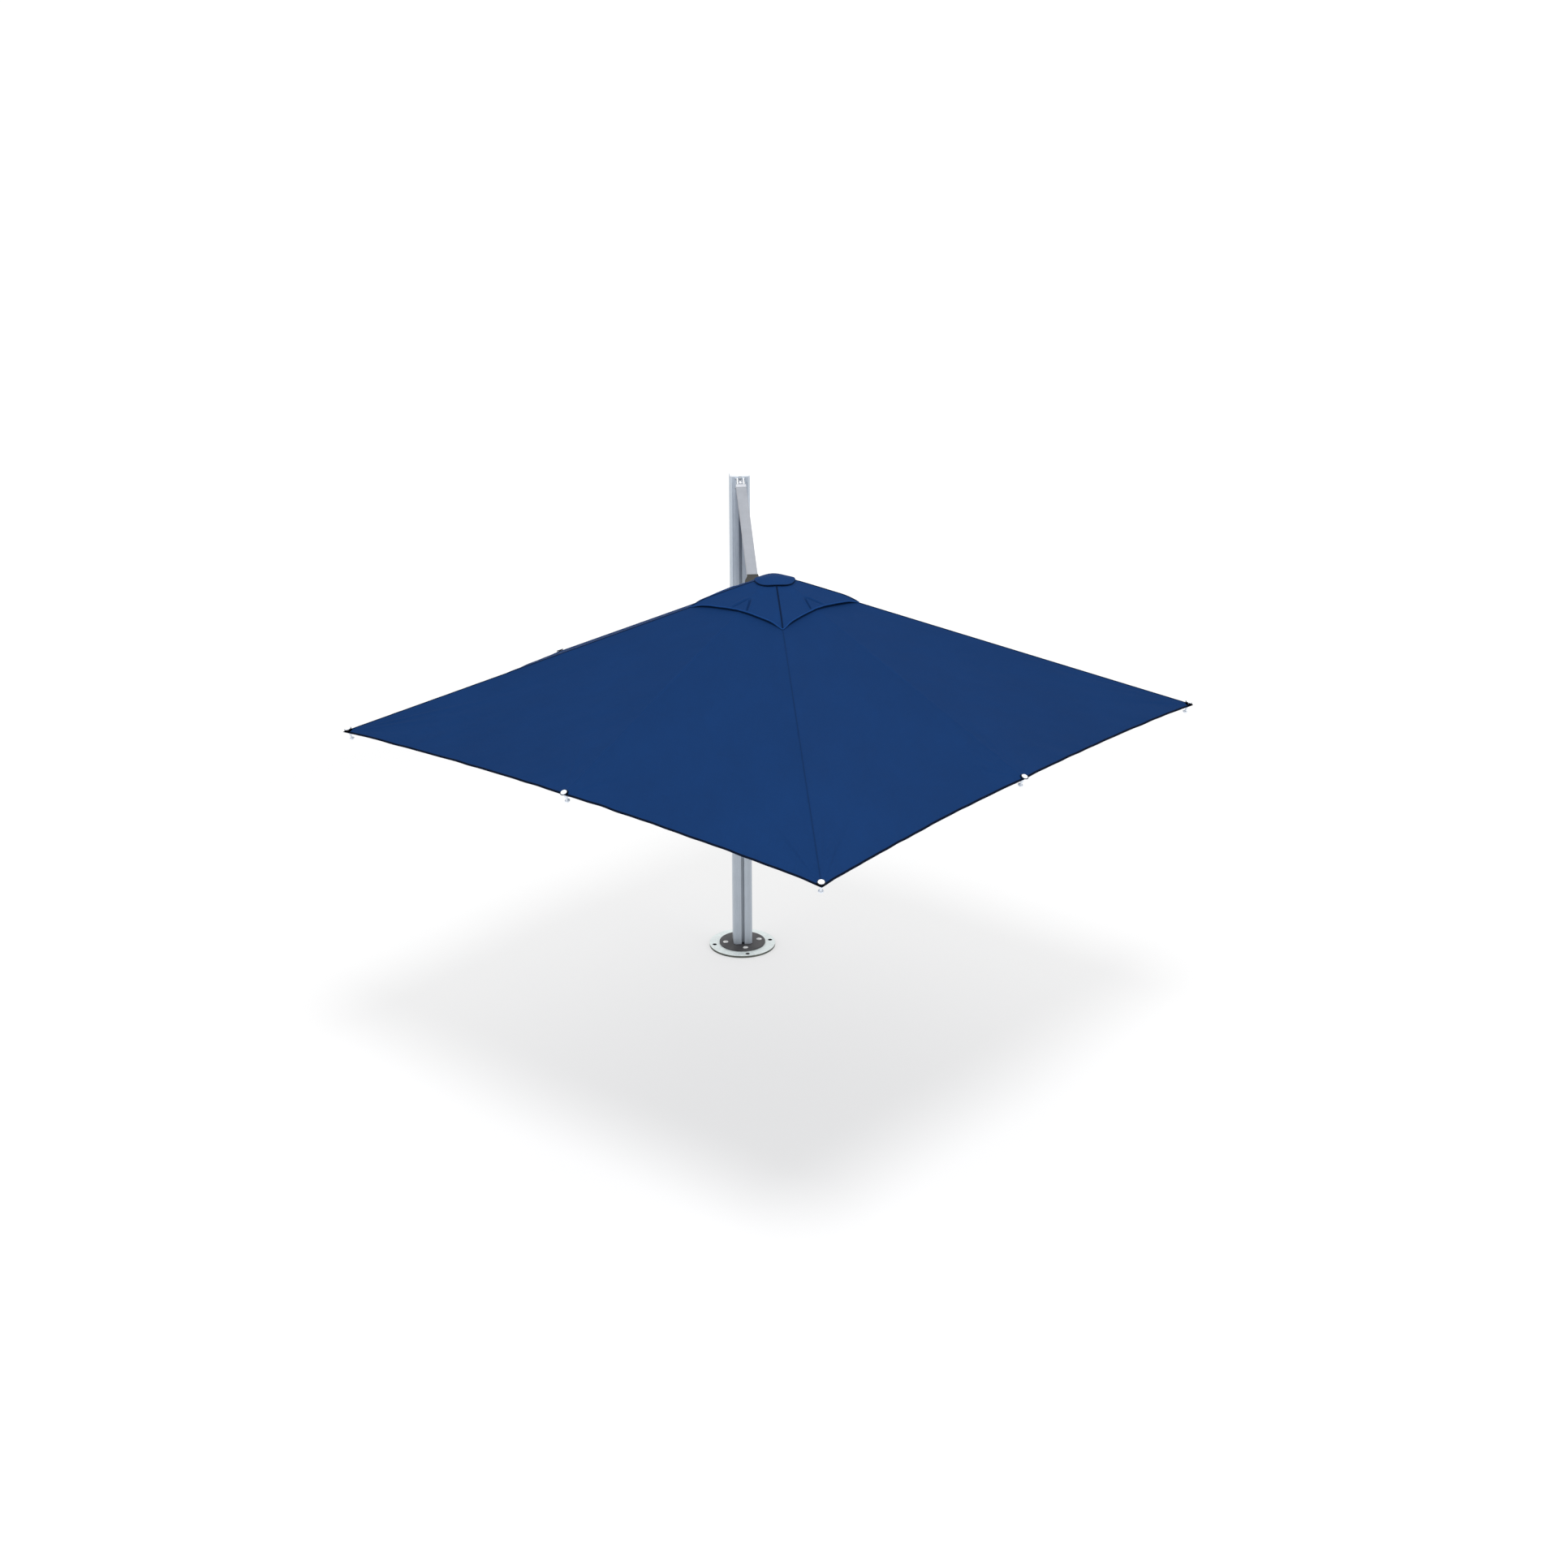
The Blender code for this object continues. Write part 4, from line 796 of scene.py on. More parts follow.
def make_carriage():
    softened("carriage", 0.0025)
    softened("slide_block", 0.0010)
    low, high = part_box("carriage_handle")
    head = [(0, 0), (0.0078, 0), (0.0078, 0.0030), (0.0066, 0.0046), (0.0036, 0.0048), (0.0034, 0.0016),
            (0, 0.0016)]
    for i, (x, z) in enumerate(((-0.038, 0.036), (0.038, 0.036), (-0.038, -0.060), (0.038, -0.060))):
        place = (x, high.y + 0.0006, pivot("carriage_pivot").z + z)
        steel_head(f"carriage_screw_{i + 1}", head, 32, (0, -1, 0), place, "carriage")

    tube_radius, bend = 0.009, 0.026
    half = (high.x - low.x) / 2 - tube_radius
    out, top, bottom = low.y + tube_radius, high.z - tube_radius, low.z + tube_radius
    corners = [Vector(p) for p in ((-half, high.y, top), (-half, out, top), (-half, out, bottom),
                                   (half, out, bottom), (half, out, top), (half, high.y, top))]
    path = [corners[0]]
    for before, here, after in zip(corners, corners[1:], corners[2:]):
        start = here + (before - here).normalized() * bend
        end = here + (after - here).normalized() * bend
        path += [start * (1 - t) ** 2 + here * 2 * t * (1 - t) + end * t ** 2 for t in np.linspace(0, 1, 13)]
    path.append(corners[-1])
    stand_in("carriage_handle_finished", swept(path, tube_radius - 0.0006, 24), "carriage_handle")
    grip = [Vector((x, out, bottom)) for x in np.linspace(-half + bend, half - bend, 61)]
    sleeve = swept(grip, lambda i: tube_radius + (0.0006 if i % 4 < 2 else -0.0001), 28)
    show("handle_grip", sleeve, NYLON, "carriage")
    boss = [(0, 0), (0.0135, 0), (0.0135, 0.003), (0.0115, 0.006), (0.0092, 0.0075), (0, 0.0075)]
    for k, side in enumerate((-1, 1)):
        place = along((0, -1, 0), (side * half, high.y - 0.0001, top))
        show(f"handle_boss_{k + 1}", moved(turned(boss, 36), place), NYLON, "carriage")

    centre, back = middle("clamp_knob"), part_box("clamp_knob")[1].y
    waist, lobe, lobes = 0.0238, 0.0038, 5
    turns = [2 * pi * i / 120 for i in range(120)]
    radii = [waist + lobe * cos(lobes * a) for a in turns]
    ring = [(radius * cos(a), radius * sin(a)) for radius, a in zip(radii, turns)]
    star = extruded([ring], (0.010, 0.0315))
    hub = turned([(0, 0), (0.0108, 0), (0.0108, 0.012), (0, 0.012)], 40)
    cap = turned([(0, 0.031), (0.0128, 0.031), (0.0124, 0.0326), (0, 0.0330)], 40)
    knob = moved(joined(star, hub, cap), along((0, -1, 0), (centre.x, back, centre.z)))
    rounded(stand_in("clamp_knob_finished", knob, "clamp_knob", smooth=25), 0.0022, 3, 45)


# Crown, ribs and runner

class Rib:
    """One rib at rest: its pivot, its directions and its own axes as a matrix."""

    def __init__(self, name):
        self.name = name
        self.pivot = pivot(f"rib_fold_{name}")
        self.lug = pivot(f"stretcher_fold_{name}")
        line = self.lug - self.pivot
        self.out = Vector((line.x, line.y, 0)).normalized()
        self.side = Vector((-self.out.y, self.out.x, 0))
        self.along = line.normalized()
        self.up = self.along.cross(self.side)
        self.matrix = Matrix((self.along, self.side, self.up)).transposed().to_4x4()
        self.matrix.translation = self.pivot


RIBS = {name: Rib(name) for name in CORNERS + MIDS}


def make_rib(rib):
    softened(f"rib_{rib.name}", 0.0010, 2)
    softened(f"stretcher_{rib.name}", 0.0010, 2)
    # the tip: a socket in the rib, a button above the cloth and a rounded foot below
    end = tip_end(rib)
    profile = [(0, -0.016), (0.0045, -0.0158), (0.0085, -0.0142), (0.0118, -0.0112), (0.0130, -0.0080),
               (0.0124, -0.0056), (0.0070, -0.0044), (0.0050, -0.0036), (0.0050, 0.0400), (0.0140, 0.0404),
               (0.0150, 0.0416), (0.0150, 0.0440), (0.0142, 0.0462), (0.0124, 0.0476), (0.0100, 0.0480),
               (0.0084, 0.0474), (0.0072, 0.0466), (0, 0.0462)]
    button = moved(turned(profile, 48), Matrix.Translation((end, 0, 0)))
    socket = extruded([[(-0.0093, 0.0107), (0.0093, 0.0107), (0.0093, 0.0303), (-0.0093, 0.0303)]],
                      (end - 0.0297, end + 0.002), "yz")
    tip = f"rib_tip_{rib.name}"
    finished = stand_in(f"{tip}_finished", moved(joined(button, socket), rib.matrix), tip, smooth=50)
    rounded(finished, 0.0012, 2, 50)
    ring = [(0.0152, 0.0414), (0.0176, 0.0412), (0.0184, 0.0420), (0.0184, 0.0446), (0.0176, 0.0454),
            (0.0152, 0.0452), (0.0152, 0.0414)]
    ring = moved(turned(ring, 48), rib.matrix @ Matrix.Translation((end, 0, 0)))
    show(f"tip_ring_{rib.name}", ring, RING_RUBBER, BODY_OF[tip], smooth=60)
    # rivets: at the hub and at the stretcher's lug
    rivet(f"rib_rivet_{rib.name}", rib.pivot, rib.side, 0.0096, 0.0044, f"rib_{rib.name}")
    rivet(f"lug_rivet_{rib.name}", rib.lug, rib.side, 0.0046, 0.0038, f"stretcher_{rib.name}", 0.0112)


def tip_end(rib):
    """Distance along the rib to its tip's stem, from the CAD tip's own points."""
    inverse = rib.matrix.inverted()
    points = [inverse @ vertex.co for vertex in frame["nodes"][f"rib_tip_{rib.name}"].data.vertices]
    button = [p.x for p in points if p.z > 0.041]
    return (min(button) + max(button)) / 2


def rivet(name, centre, axis, low, radius, body, high=None):
    """A rivet through a joint, with a domed head at each end."""
    high = high or low
    profile = [(0, -low - 0.0022), (radius * 0.7, -low - 0.0016), (radius, -low), (radius * 0.55, -low),
               (radius * 0.55, high), (radius, high), (radius * 0.7, high + 0.0016), (0, high + 0.0022)]
    steel_head(name, profile, 24, axis, centre, body)


def make_crown():
    softened("crown_hub", 0.0010, 2)
    softened("runner", 0.0012, 2)
    low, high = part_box("crown_cap")
    radius, base, rise = (high.x - low.x) / 2, low.z, high.z - low.z
    inside, lip = radius - 0.0066, 0.0070
    profile = [(0, base), (radius - 0.006, base), (radius - 0.0015, base + 0.0012), (radius, base + 0.0040),
               (radius - 0.0012, base + 0.0066), (radius - 0.0042, base + 0.0074), (inside, base + lip)]
    for i in range(1, 13):
        angle = pi / 2 * i / 12
        profile.append((inside * cos(angle), base + lip + (rise * 0.86 - lip) * (1 - cos(angle) ** 1.7)))
    mesh = turned(profile, 96)
    # soft gores between eight radial seams, and a rim that follows the vent cap's four ridges
    for vertex in mesh.verts:
        far = vertex.co.xy.length / radius
        turn = atan2(vertex.co.y, vertex.co.x)
        vertex.co.xy *= 1 + CROWN_FLARE * far ** 4
        vertex.co.z -= CROWN_DIP * sin(2 * turn) ** 2 * far ** 2
        if vertex.co.z > base + 0.0071 and far > 0.01:
            vertex.co.z += 0.0016 * (abs(sin(4 * turn)) - 0.5) * far * (1 - far)
    mesh = moved(mesh, Matrix.Translation((AXIS.x, AXIS.y, 0)))
    cap = stand_in("crown_cap_finished", mesh, "crown_cap", CANVAS_CROWN_PAINTED_LIGHT, 60)
    cloth_map(cap, lambda p: (p.x - AXIS.x, p.y - AXIS.y))
    cap.data.materials.append(CANVAS_PAINTED_SHADE)
    for face in cap.data.polygons:
        if (face.center.xy - AXIS.xy).length > (radius - 0.0015) * 1.045:   # the rim, flared, in the dark canvas as painted shade
            face.material_index = 1


def cloth_map(item, position):
    """A UV map in metres, from each vertex's place."""
    layer = item.data.uv_layers.new(name="cloth")
    for loop in item.data.loops:
        layer.data[loop.index].uv = position(item.data.vertices[loop.vertex_index].co)


# Cloth

class Waves:
    """A smooth, repeatable noise of one or two variables, from a few sines.

    It runs from about -1 to 1 and changes over a distance of about 1.
    """

    def __init__(self, seed, count):
        source = np.random.default_rng(seed)
        self.turn = source.uniform(0, 2 * pi, count)
        self.rate = source.uniform(0.6, 1.9, count)
        self.phase = source.uniform(0, 2 * pi, count)
        self.scale = sqrt(count * 2)

    def along(self, s):
        return sum(np.sin(pi * r * s + p) for r, p in zip(self.rate, self.phase)) / self.scale

    def over(self, x, y):
        return sum(np.sin(pi * r * (x * cos(t) + y * sin(t)) + p)
                   for r, t, p in zip(self.rate, self.turn, self.phase)) / self.scale


def ridge_points(node_name, rib):
    """The CAD sheet's top points above one rib, as rising radii and their heights."""
    found = {}
    for vertex in frame["nodes"][node_name].data.vertices:
        flat = vertex.co - AXIS
        radius = flat.x * rib.out.x + flat.y * rib.out.y
        aside = flat.x * rib.side.x + flat.y * rib.side.y
        if abs(aside) < 0.0005 and radius > 0:
            key = round(radius, 3)
            found[key] = max(found.get(key, 0), vertex.co.z)
    return sorted(found.items())


def line_through(points):
    """Start radius, end radius, start height and slope of a straight ridge."""
    (r0, z0), (r1, z1) = points[0], points[-1]
    slope = (z1 - z0) / (r1 - r0)
    return r0, r1, z0, slope


# Relief of the canopy: height, then lengths along and down a gore
SOFT_WAVES = (0.0022, 0.34, 0.55)
FINE_WAVES = (0.0007, 0.11, 0.16)
# Folds that fan out from a tip: folds per radian, height, and how far they run
CORNER_FAN = (9, 0.0052, 0.46)
MID_FAN = (8, 0.0040, 0.38)
# Puckers beside the seams and waves at the hem: height and length
PUCKERS = (0.0012, 0.06)
HEM_WAVES = (0.0017, 0.11)


class Gore:
    """One eighth of the canopy, between a corner rib and a mid-edge rib.

    Its places are given by share (0 at the corner rib, 1 at the mid rib) and
    reach (0 at the vent, 1 at the hem).
    """

    def __init__(self, corner, mid, seed):
        self.corner, self.mid = RIBS[corner], RIBS[mid]
        self.c0, self.c1, self.cz, self.cs = line_through(ridge_points("canopy_fabric", self.corner))
        self.m0, self.m1, self.mz, self.ms = line_through(ridge_points("canopy_fabric", self.mid))
        self.c1 += HEM_BEYOND_CORNER
        self.m1 += HEM_BEYOND_MID
        self.x, self.y = np.array(self.corner.out[:2]), np.array(self.mid.out[:2])
        across = self.y * self.m1 - self.x * self.c1
        self.hem_length = np.linalg.norm(across)
        across = across / self.hem_length
        inward = -(self.x + self.y)
        inward -= across * inward.dot(across)
        self.inward = inward / np.linalg.norm(inward)
        self.depth = self.m1 - self.m0
        edge_c = np.array([*(self.x * self.c1), self.cz + self.cs * (self.c1 - self.c0)])
        edge_m = np.array([*(self.y * self.m1), self.mz + self.ms * (self.m1 - self.m0)])
        top_m = np.array([*(self.y * self.m0), self.mz])
        normal = np.cross(edge_m - edge_c, edge_m - top_m)
        self.normal = normal / np.linalg.norm(normal) * np.sign(normal[2])
        self.hem_waves, self.seam_waves = Waves(seed, 7), Waves(seed + 1, 7)
        self.soft, self.fine, self.tug = Waves(seed + 2, 9), Waves(seed + 3, 9), Waves(seed + 4, 5)

    def side_of(self, rib):
        """1 if the gore lies on the left of one of its ribs, -1 if on the right."""
        other = self.mid if rib is self.corner else self.corner
        return 1 if rib.side.dot(other.out) > 0 else -1

    def row_length(self, reach):
        return self.hem_length * (self.c0 + (self.c1 - self.c0) * reach) / self.c1

    def flat(self, share, reach):
        """The taut cloth: straight rows between two straight ridges, scalloped at the hem."""
        rc, rm = self.c0 + (self.c1 - self.c0) * reach, self.m0 + (self.m1 - self.m0) * reach
        zc, zm = self.cz + self.cs * (rc - self.c0), self.mz + self.ms * (rm - self.m0)
        plan = (np.outer(rc * (1 - share), self.x) + np.outer(rm * share, self.y)
                + np.outer(HEM_SCALLOP * np.maximum(reach, 0) ** 2.2 * 4 * share * (1 - share), self.inward))
        return np.column_stack([plan + np.array(AXIS[:2]), zc * (1 - share) + zm * share])

    def relief(self, share, reach):
        """Height of the sag, tension folds and puckers above the taut cloth."""
        row = self.row_length(reach)
        from_corner, from_mid = share * row, (1 - share) * row
        down, to_hem = reach * self.depth, (1 - reach) * self.depth
        inside = 4 * share * (1 - share)
        height = -SAG * inside * (0.25 + 0.75 * reach) * np.sin(pi * np.clip(0.12 + 0.8 * reach, 0, 1))
        held = 1 - np.exp(-(np.minimum(from_corner, from_mid) / 0.05) ** 2)
        for waves, (amount, wide, long) in ((self.soft, SOFT_WAVES), (self.fine, FINE_WAVES)):
            height += held * amount * waves.over(from_corner / wide, down / long)
        for aside, (rate, amount, size) in ((from_corner, CORNER_FAN), (from_mid, MID_FAN)):
            away = np.sqrt(aside ** 2 + to_hem ** 2) + 1e-6
            angle = np.arctan2(to_hem, aside)
            fan = np.sin(rate * angle * (0.75 + 0.25 * self.tug.along(angle * 3)) + 1.3)
            height += amount * fan * np.exp(-away / size * 2.2) * np.clip(away / 0.16, 0, 1) ** 1.5 * held
        for aside, shift in ((from_corner, 0.0), (from_mid, 7.0)):
            near = np.exp(-aside / 0.035) * (1 - np.exp(-aside / 0.006))
            height += PUCKERS[0] * near * self.seam_waves.along(down / PUCKERS[1] + shift)
        ripple = self.hem_waves.along(from_corner / HEM_WAVES[1])
        height += HEM_WAVES[0] * np.exp(-to_hem / 0.07) * ripple * held
        return height

    def point(self, share, reach):
        return self.flat(share, reach) + np.outer(self.relief(share, reach), self.normal)

    def surface(self, share, reach):
        """Points and their unit normals."""
        step = 0.0008
        base = self.point(share, reach)
        across = self.point(share + step, reach) - self.point(share - step, reach)
        outward = self.point(share, reach + step) - self.point(share, reach - step)
        normal = np.cross(across, outward)
        normal /= np.linalg.norm(normal, axis=1)[:, None]
        normal *= np.sign(normal[:, 2])[:, None]
        return base, normal


class VentGore(Gore):
    """One eighth of the vent cap, round under the crown cap and square at its hem."""

    def __init__(self, corner, mid, seed):
        super().__init__(corner, mid, seed)
        points = ridge_points("vent_cap", self.corner)
        self.corner_end = points[-1][0]
        self.mid_end = self.corner_end / sqrt(2)
        self.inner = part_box("crown_cap")[1].x - AXIS.x - 0.010
        self.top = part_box("crown_cap")[0].z - 0.0015
        half_way = points[len(points) // 2 + 1]
        self.rise = half_way[1] - (self.cz + self.cs * (half_way[0] - self.c0))
        self.hem_length = self.mid_end
        self.depth = self.mid_end - self.inner

    def row_length(self, reach):
        return self.hem_length * np.clip(reach, 0.25, 1)

    def point(self, share, reach):
        share = np.asarray(share, float)
        corner, mid = self.x, self.y
        # the hem of a whole side is one curve, drawn in by the scallop at its middle
        on_hem = (np.outer(self.corner_end * (1 - share), corner) + np.outer(self.mid_end * share, mid)
                  + np.outer(VENT_SCALLOP * (1 - (1 - share) ** 2), -mid))
        length = np.linalg.norm(on_hem, axis=1)
        direction = on_hem / length[:, None]
        radius = self.inner + (length - self.inner) * reach
        plan = direction * radius[:, None]
        # height of the taut canopy below this point
        along_corner = plan @ corner
        aside = np.sqrt(np.maximum(radius ** 2 - along_corner ** 2, 0))
        row = along_corner + aside
        part = np.where(row > 1e-9, 2 * aside / np.maximum(row, 1e-9), 0)
        below = ((1 - part) * (self.cz + self.cs * (row - self.c0))
                 + part * (self.mz + self.ms * (row / sqrt(2) - self.m0)))
        near_corner = np.exp(-(share / 0.16) ** 2)
        drop = np.clip((reach - 0.72) / 0.28, 0, 1) ** 2
        lift = self.rise * (1 - 0.72 * drop * near_corner - 0.10 * drop)
        height = below + lift + self.relief(share, reach)
        # the cloth rounds over to the flat under the crown cap, lower between the corner seams
        top = self.top - CROWN_DIP * np.sin(pi / 2 * share) ** 2
        gap = height - top
        height = top + 0.5 * (gap - np.sqrt(gap ** 2 + VENT_ROUNDING ** 2))
        return np.column_stack([plan + np.array(AXIS[:2]), height])

    def shares_at(self, across, along):
        """Share and reach of a plan place, from its distances across and along the corner rib."""
        table = np.linspace(0, 1, 200)
        hem = self.point(table, np.ones(200))[:, :2] - np.array(AXIS[:2])
        turns = np.arctan2(np.linalg.norm(hem - np.outer(hem @ self.x, self.x), axis=1), hem @ self.x)
        turn = np.arctan2(across, along)
        length = np.interp(turn, turns, np.linalg.norm(hem, axis=1))
        return np.interp(turn, turns, table), (np.hypot(across, along) - self.inner) / (length - self.inner)

    def relief(self, share, reach):
        share = np.asarray(share, float)
        row = self.hem_length * np.clip(reach, 0.2, 1)
        from_corner, from_mid = share * row, (1 - share) * row
        to_hem = (1 - reach) * self.depth
        held = 1 - np.exp(-(from_corner / 0.03) ** 2)
        height = -0.005 * np.sin(pi * share / 2) * np.sin(pi * np.clip(reach, 0, 1))
        height += held * 0.0010 * self.soft.over(from_corner / 0.12, to_hem / 0.14)
        # folds like an inverted V over the middle of each side, where a tab below holds the cloth
        crease = from_mid - 0.52 * (PUCKER_TOP - to_hem) - 0.002
        near = np.clip((PUCKER_TOP + 0.006 - to_hem) / 0.020, 0, 1) * np.clip(to_hem / 0.025, 0, 1)
        height -= 0.0105 * np.exp(-(crease / 0.0048) ** 2) * near
        height += 0.0034 * np.exp(-((crease - 0.0125) / 0.0065) ** 2) * near
        height -= 0.0030 * np.exp(-(from_mid / 0.024) ** 2) * np.exp(-((to_hem - 0.030) / 0.028) ** 2)
        height += 0.0007 * np.exp(-to_hem / 0.03) * self.hem_waves.along(from_corner / 0.07) * held
        return height


GORES = {}
VENT_GORES = {}
for index, corner in enumerate(CORNERS):
    for mid in (MIDS[index], MIDS[index - 1]):
        GORES[corner, mid] = Gore(corner, mid, 100 + 10 * len(GORES))
        VENT_GORES[corner, mid] = VentGore(corner, mid, 300 + 10 * len(VENT_GORES))


def cloth_mesh(name, grids, material, hem=None, hem_material=None, thick=CLOTH_THICK):
    """A closed sheet from a grid of points, normals and UVs; the rows flagged as hem are thicker."""
    points, normals, uvs = grids
    rows, columns = points.shape[:2]
    depth = np.full((rows, columns, 1), thick)
    top = points.copy()
    if hem is not None:
        depth[hem] = HEM_THICK
        top[hem] += normals[hem] * (HEM_THICK - thick) / 2
        depth[-1] = thick
        top[-1] = points[-1] - normals[-1] * (HEM_THICK / 4)
    bottom = top - normals * depth
    count = rows * columns
    verts = np.concatenate([top.reshape(-1, 3), bottom.reshape(-1, 3)])
    index = np.arange(count).reshape(rows, columns)
    quads = np.stack([index[:-1, :-1], index[:-1, 1:], index[1:, 1:], index[1:, :-1]], -1).reshape(-1, 4)
    corner, across, down = top[0, 0], top[0, -1], top[-1, 0]
    facing_up = np.cross(across - corner, down - corner).dot(normals[0, 0]) > 0
    if not facing_up:
        quads = quads[:, ::-1]
    rim = np.concatenate([index[0, :], index[1:, -1], index[-1, -2::-1], index[-2:0:-1, 0]])
    follow = np.roll(rim, -1)
    walls = np.stack([rim, follow, follow + count, rim + count], -1)
    if facing_up:
        walls = walls[:, ::-1]
    faces = np.concatenate([quads, quads[:, ::-1] + count, walls])
    data = bpy.data.meshes.new(name)
    data.from_pydata(verts.tolist(), [], faces.tolist())
    data.shade_smooth()
    data.materials.append(material)
    loops = np.empty(len(data.loops), int)
    data.loops.foreach_get("vertex_index", loops)
    layer = data.uv_layers.new(name="cloth")
    layer.data.foreach_set("uv", np.tile(uvs.reshape(-1, 2), (2, 1))[loops].astype(np.float32).ravel())
    both = np.concatenate([normals.reshape(-1, 3), -normals.reshape(-1, 3)])[loops]
    both[8 * len(quads):] = 0
    if hem is not None:
        # painted shade: the hem rows take the darker hem canvas
        data.materials.append(hem_material)
        in_hem = np.repeat(hem[:-1] & hem[1:], columns - 1)
        rising = np.repeat(hem[:-1] != hem[1:], columns - 1)
        in_hem[-(columns - 1):] = True
        rising[-(columns - 1):] = True
        flags = np.concatenate([in_hem, in_hem, np.zeros(len(walls), bool)])
        data.polygons.foreach_set("material_index", flags.astype(np.int32))
        both[np.repeat(np.concatenate([rising, rising, np.ones(len(walls), bool)]), 4)] = 0
    data.normals_split_custom_set(both.tolist())
    return data


def add_cloth(name, rib, grids, material, **details):
    """A sheet of cloth that rides on a rib."""
    item = placed(name, cloth_mesh(name, grids, material, **details))
    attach(item, f"rib_{rib.name}")
    return item


def sampled(gore, shares, reaches):
    """Grid of points, normals and UVs in metres; shares has a row for each reach."""
    rows, columns = shares.shape
    share, reach = shares.ravel(), np.repeat(reaches, columns)
    points, normals = gore.surface(share, reach)
    uv = np.column_stack([(share - 0.5) * gore.row_length(reach), (1 - reach) * gore.depth])
    return points.reshape(rows, columns, 3), normals.reshape(rows, columns, 3), uv.reshape(rows, columns, 2)


def stem_radius(rib):
    """Plan radius at which a tip's stem passes the cloth."""
    return (rib.matrix @ Vector((tip_end(rib), 0, CLOTH_ABOVE_PIVOTS)) - AXIS).xy.length


def row_places(gore, rib, count):
    """Reaches of the rows, with close rows round the stem's hole, at the hem band and at the hem."""
    inner = 1 - HEM_WIDTH / gore.depth
    fine = 0.0010 / gore.depth
    start, end = (gore.c0, gore.c1) if rib is gore.corner else (gore.m0, gore.m1)
    hole = (stem_radius(rib) - start + STEM_HOLE * 1.5 * np.linspace(-1, 1, 15)) / (end - start)
    places = [np.linspace(0, 0.7, count // 2), np.linspace(0.7, 1, count // 2), hole,
              [inner, inner + fine, 1 - fine, 1.0]]
    places = np.unique(np.concatenate(places))
    apart = np.concatenate([[True], np.diff(places) > fine * 0.6])
    apart[-1] = True
    places = places[apart & (places <= 1)]
    return places, places > inner + fine / 2


def fold_with(item, offset=0.0):
    """Gives the piece its own copy of its mesh; the offset is not used."""
    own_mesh(item)


def notch(rib, radius, at_corner):
    """How far beside the rib the cloth starts, in a row that meets the rib at a radius."""
    off = radius - stem_radius(rib)
    if at_corner:
        aside = (off + np.sqrt(np.maximum(2 * STEM_HOLE ** 2 - off ** 2, 0))) / 2
        return np.where((off > -STEM_HOLE) & (off < STEM_HOLE * sqrt(2)), aside, 0)
    return np.sqrt(np.maximum(STEM_HOLE ** 2 - off ** 2, 0))


def edge_share(gore, rib, reaches, offset):
    """Share at which each row lies at an offset beside one of the gore's ribs, clear of its stem."""
    radius = gore.c0 + (gore.c1 - gore.c0) * reaches
    if rib is gore.corner:
        return 2 * np.maximum(offset, notch(rib, radius, True)) / radius
    along_mid = gore.m0 + (gore.m1 - gore.m0) * reaches
    return 1 - sqrt(2) * np.maximum(offset, notch(rib, along_mid, False)) / radius


def make_canopy():
    count = 120
    for gore in GORES.values():
        for rib, columns in ((gore.corner, 56), (gore.mid, 40)):
            reaches, hem = row_places(gore, rib, count)
            offset = SLIT_HALF if rib.name == "back" else 0.0
            start = edge_share(gore, rib, reaches, offset)
            spread = np.linspace(0, 1, columns) ** 1.5
            shares = start[:, None] + (CORNER_SHARE - start)[:, None] * spread[None, :]
            grids = sampled(gore, shares, reaches)
            name = f"canopy_{rib.name}_rib_{SIDE_NAMES[gore.side_of(rib)]}"
            item = add_cloth(name, rib, grids, CANVAS, hem=hem, hem_material=CANVAS_HEM_PAINTED_SHADE)
            fold_with(item, offset * gore.side_of(rib))
    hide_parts("canopy_fabric")
    make_back_band()
    for rib in RIBS.values():
        make_seam(rib)
        make_ring(rib)
    for name in ("front", "left", "right"):
        make_webbing(RIBS[name])


def beside(rib):
    """The two gores that meet on a rib, as (gore, sign of its side)."""
    found = [(gore, gore.side_of(rib)) for gore in GORES.values() if rib in (gore.corner, gore.mid)]
    return sorted(found, key=lambda pair: pair[1])


def on_cloth(rib, x, y):
    """Point and normal of the canopy's top at a plan place beside a rib (x out, y aside)."""
    x, y = np.asarray(x, float), np.asarray(y, float)
    points, normals = np.zeros((len(x), 3)), np.zeros((len(x), 3))
    for gore, sign in beside(rib):
        pick = (y * sign >= 0) if sign > 0 else (y < 0)
        if not pick.any():
            continue
        px, py = x[pick], np.abs(y[pick])
        goal_x, goal_y = px.copy(), py.copy()
        for _ in range(3):
            if rib is gore.corner:
                reach = (goal_x + goal_y - gore.c0) / (gore.c1 - gore.c0)
                share = 2 * goal_y / (goal_x + goal_y)
            else:
                reach = (goal_x - gore.m0) / (gore.m1 - gore.m0)
                share = 1 - goal_y / goal_x
            flat = gore.flat(share, np.clip(reach, 0, 1.02)) - np.array(AXIS)
            got_x = flat @ np.array(rib.out)
            got_y = np.abs(flat @ np.array(rib.side))
            goal_x, goal_y = goal_x + (px - got_x), goal_y + (py - got_y)
        p, n = gore.surface(share, np.clip(reach, 0, 1.0))
        points[pick], normals[pick] = p, n
    return points, normals


def cloth_grid(rib, gx, gy, lift=0.0):
    """Points, normals and UVs on the canopy over plan places beside a rib."""
    points, normals = on_cloth(rib, gx.ravel(), gy.ravel())
    points = points + normals * np.broadcast_to(lift, gx.shape).ravel()[:, None]
    uv = np.stack([gx, gy], -1)
    return points.reshape(*gx.shape, 3), normals.reshape(*gx.shape, 3), uv


